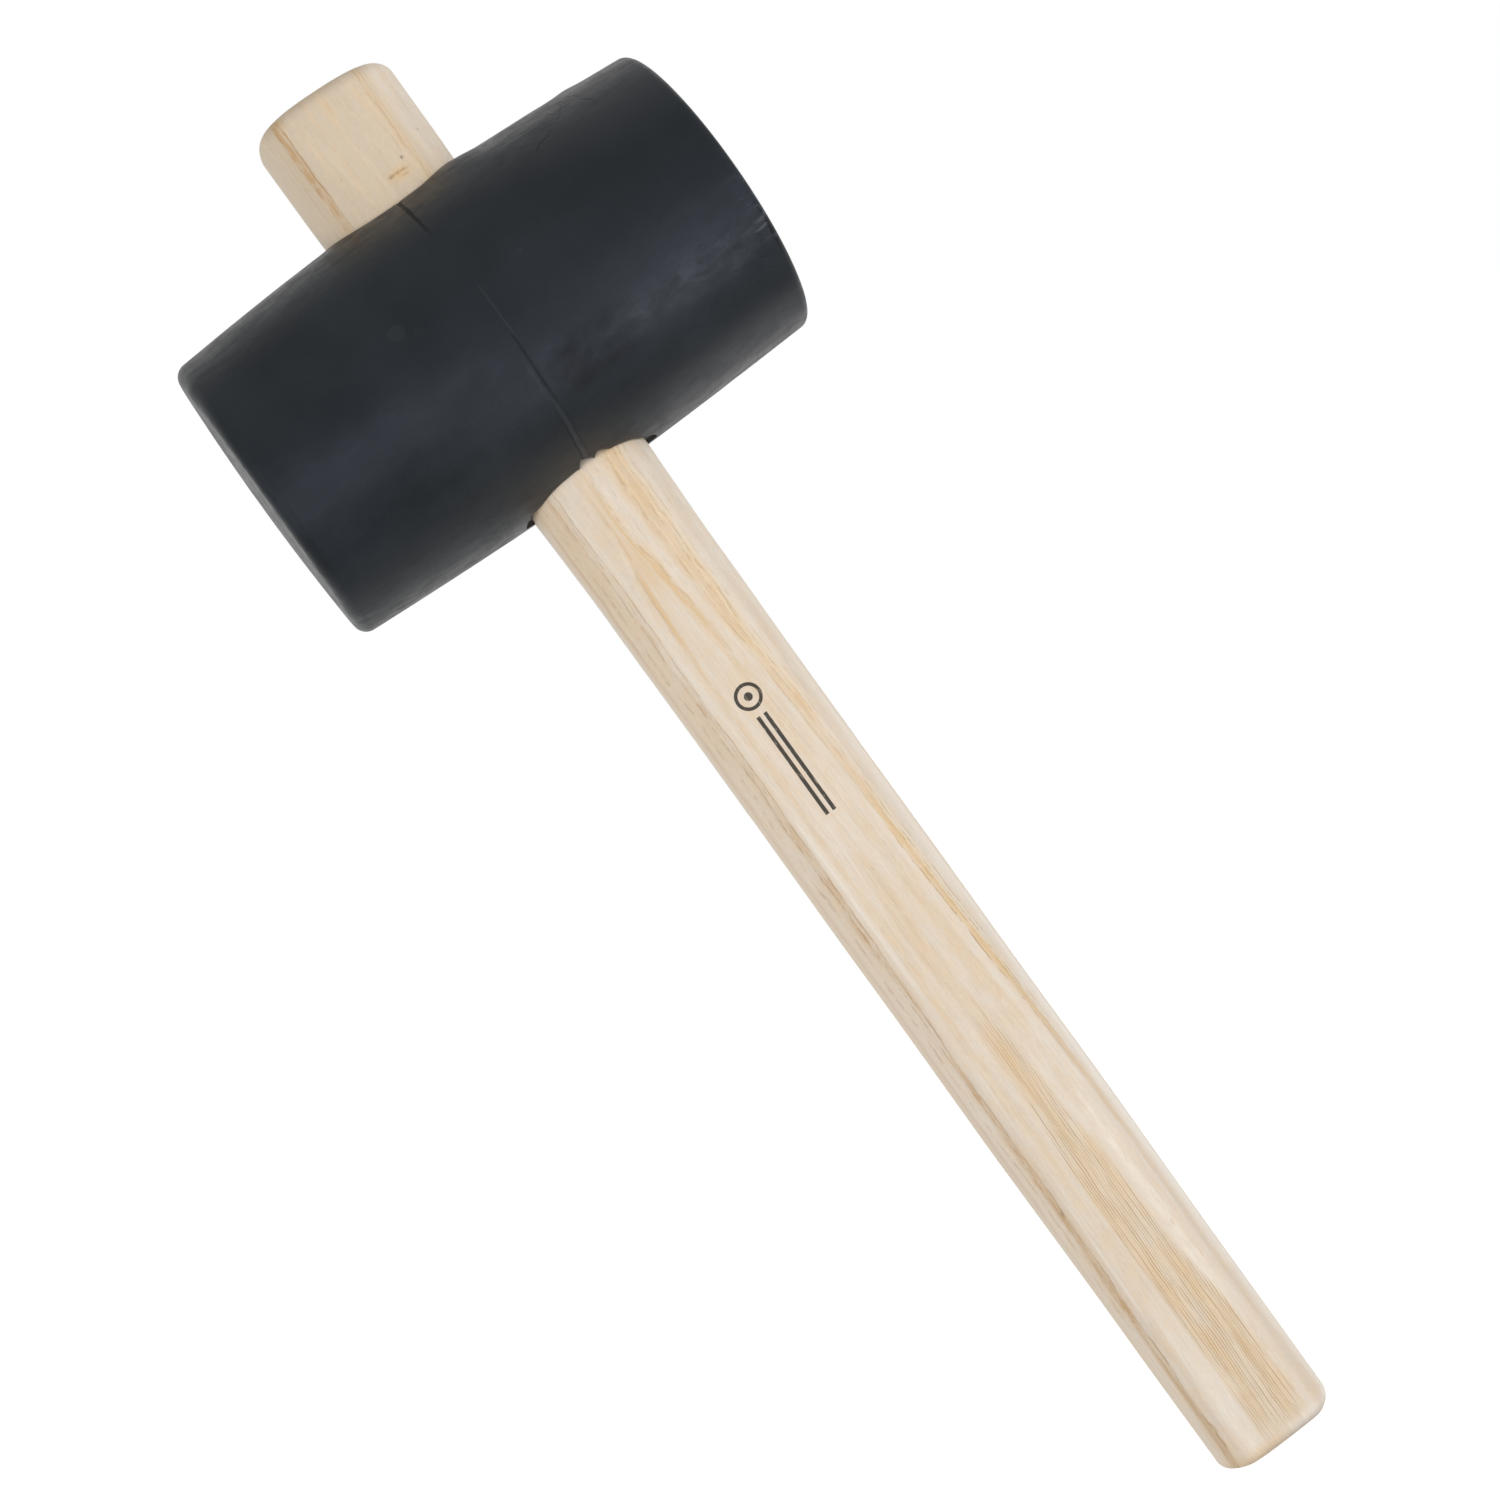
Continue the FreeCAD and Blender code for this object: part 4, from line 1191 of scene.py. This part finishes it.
    rough = ramp(scuff, 0.28, 0.72, to=(0.30, 0.47)) + ramp(tool, 0.3, 0.7, to=(-0.02, 0.02))
    rough = rough + groove * 0.3 + scuff_sheen * ramp(smear, 0.3, 0.7, to=(0.04, -0.04))
    specular = ((0.5 + high * 0.14 + under * 0.10 + lit * 0.05)
                - (groove * 0.34 + folds * 0.22 + dim * 0.10))
    relief = (bead * 0.2 + rake * 0.2) - (groove * 0.4 + folds * 0.6)
    normal = None
    # height, strength, distance in metres
    for bump in ((relief, 0.5, 0.00025), (tool, 0.10, 0.0001), (mottle, 0.35, 0.0005),
                 (scuff, 0.24, 0.0003), (fine, 0.10, 0.00006)):
        normal = rubber.bump(*bump, normal)
    rubber.principled(Base_Color=colour, Roughness=rubber.math("MAXIMUM", rough, 0.31),
                      IOR=1.50, Normal=normal, Specular_IOR_Level=specular)
    return rubber.owner


# ------------------------------------------------------------- stage, in metres
FLOOR_HALF, FLOOR_Z = 12.0, -0.0002
LIGHT_TARGET = Vector((0.0, 0.0, 0.19))
# name, place, power, colour
LIGHTS = [("left_box", (-0.78, -0.66, 0.22), 6.9, (1.0, 1.0, 0.985)),
          ("right_box", (0.90, -0.58, 0.26), 7.7, (1.0, 1.0, 0.99))]
LIGHT_SIZE = (0.42, 0.9)
# Soft round sources far away: direction, cosines where each starts and is full, strength, colour
LOBES = [((0.34, -0.62, -0.71), 0.955, 0.995, 2.1, (0.82, 0.86, 1.0)),
         ((-0.08, -0.955, -0.285), 0.97, 0.996, 0.44, (0.75, 0.81, 1.0)),
         ((0.12, -0.945, -0.305), 0.97, 0.996, 0.34, (0.75, 0.81, 1.0))]
CAMERA_PLACE = (-0.069212, -0.637893, 0.174447)
CAMERA_AXES = [(0.806937, -0.078333, -0.585420),        # right
               (0.582291, -0.060534, 0.810724),         # up
               (-0.098944, -0.995088, -0.003234)]       # back


def build_floor():
    """White floor, seen only by the camera."""
    mesh = bpy.data.meshes.new("floor")
    corners = [(x * FLOOR_HALF, y * FLOOR_HALF, FLOOR_Z)
               for x, y in ((-1, -1), (1, -1), (1, 1), (-1, 1))]
    mesh.from_pydata(corners, [], [(0, 1, 2, 3)])
    floor = bpy.data.objects.new("floor", mesh)
    bpy.context.scene.collection.objects.link(floor)
    white = Nodes(bpy.data.materials.new("floor_white"))
    white.principled(Base_Color=(0.86, 0.86, 0.86, 1.0), Roughness=0.9, Specular_IOR_Level=0.0,
                     Emission_Color=(1.0, 1.0, 1.0, 1.0), Emission_Strength=0.80)
    mesh.materials.append(white.owner)
    floor.visible_glossy = False
    floor.visible_diffuse = False
    floor.visible_shadow = False


def build_world():
    """White to the camera; otherwise brighter towards +y, with soft lobes from the front."""
    world = bpy.data.worlds.new("studio")
    bpy.context.scene.world = world
    sky = Nodes(world, "ShaderNodeOutputWorld")
    direction = Value(sky, sky.new("ShaderNodeTexCoord").outputs["Generated"])

    def background(colour, strength):
        return sky.fill(sky.new("ShaderNodeBackground"), 0,
                        {"Color": (*colour, 1.0), "Strength": strength})

    gradient = sky.ramp(sky.separate(direction)[1], -0.15, 1.00, to=(0.23, 0.77))
    light = background((1.0, 0.992, 0.978), gradient)
    for towards, start, full, strength, colour in LOBES:
        cosine = sky.fill(sky.new("ShaderNodeVectorMath", operation="DOT_PRODUCT"), "Value",
                          {0: direction, 1: Vector(towards).normalized()})
        lobe = background(colour, sky.ramp(cosine, start, full, to=(0.0, strength)))
        light = sky.fill(sky.new("ShaderNodeAddShader"), 0, {0: light, 1: lobe})
    camera_ray = Value(sky, sky.new("ShaderNodeLightPath").outputs["Is Camera Ray"])
    seen = sky.fill(sky.new("ShaderNodeMixShader"), 0,
                    {0: camera_ray, 1: light, 2: background((1.0, 1.0, 1.0), 1.0)})
    sky.put(sky.out.inputs["Surface"], seen)


def build_lights():
    for name, place, power, colour in LIGHTS:
        light = bpy.data.lights.new(name, "AREA")
        light.shape = "RECTANGLE"
        light.size, light.size_y = LIGHT_SIZE
        light.energy = power
        light.color = colour
        obj = bpy.data.objects.new(name, light)
        obj.location = place
        obj.rotation_mode = "QUATERNION"
        obj.rotation_quaternion = (Vector(place) - LIGHT_TARGET).to_track_quat("Z", "Y")
        obj.visible_camera = False
        obj.visible_glossy = False
        bpy.context.scene.collection.objects.link(obj)


def build_camera():
    lens = bpy.data.cameras.new("camera")
    lens.sensor_width = 36.0
    lens.lens = 75.27
    lens.clip_start, lens.clip_end = 0.01, 50.0
    camera = bpy.data.objects.new("camera", lens)
    bpy.context.scene.collection.objects.link(camera)
    matrix = Matrix(CAMERA_AXES).transposed().to_4x4()
    matrix.translation = Vector(CAMERA_PLACE)
    camera.matrix_world = matrix
    bpy.context.scene.camera = camera


# ---------------------------------------------------------------------- build
handle_points, handle_faces = build_handle()
handle = make_object("ash_handle", handle_points, handle_faces, wood_fields(handle_points))
handle.data.materials.append(ash_material())
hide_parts("handle")
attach(handle, "root")

head = make_object("moulded_rubber_head", *build_head())
head.data.materials.append(rubber_material())
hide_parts("rubber_head")
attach(head, "root")

build_floor()
build_world()
build_lights()
build_camera()

view = bpy.context.scene.view_settings
view.view_transform = "Standard"
view.look = "None"
view.exposure = 0.0
view.gamma = 1.0

bpy.context.view_layer.update()
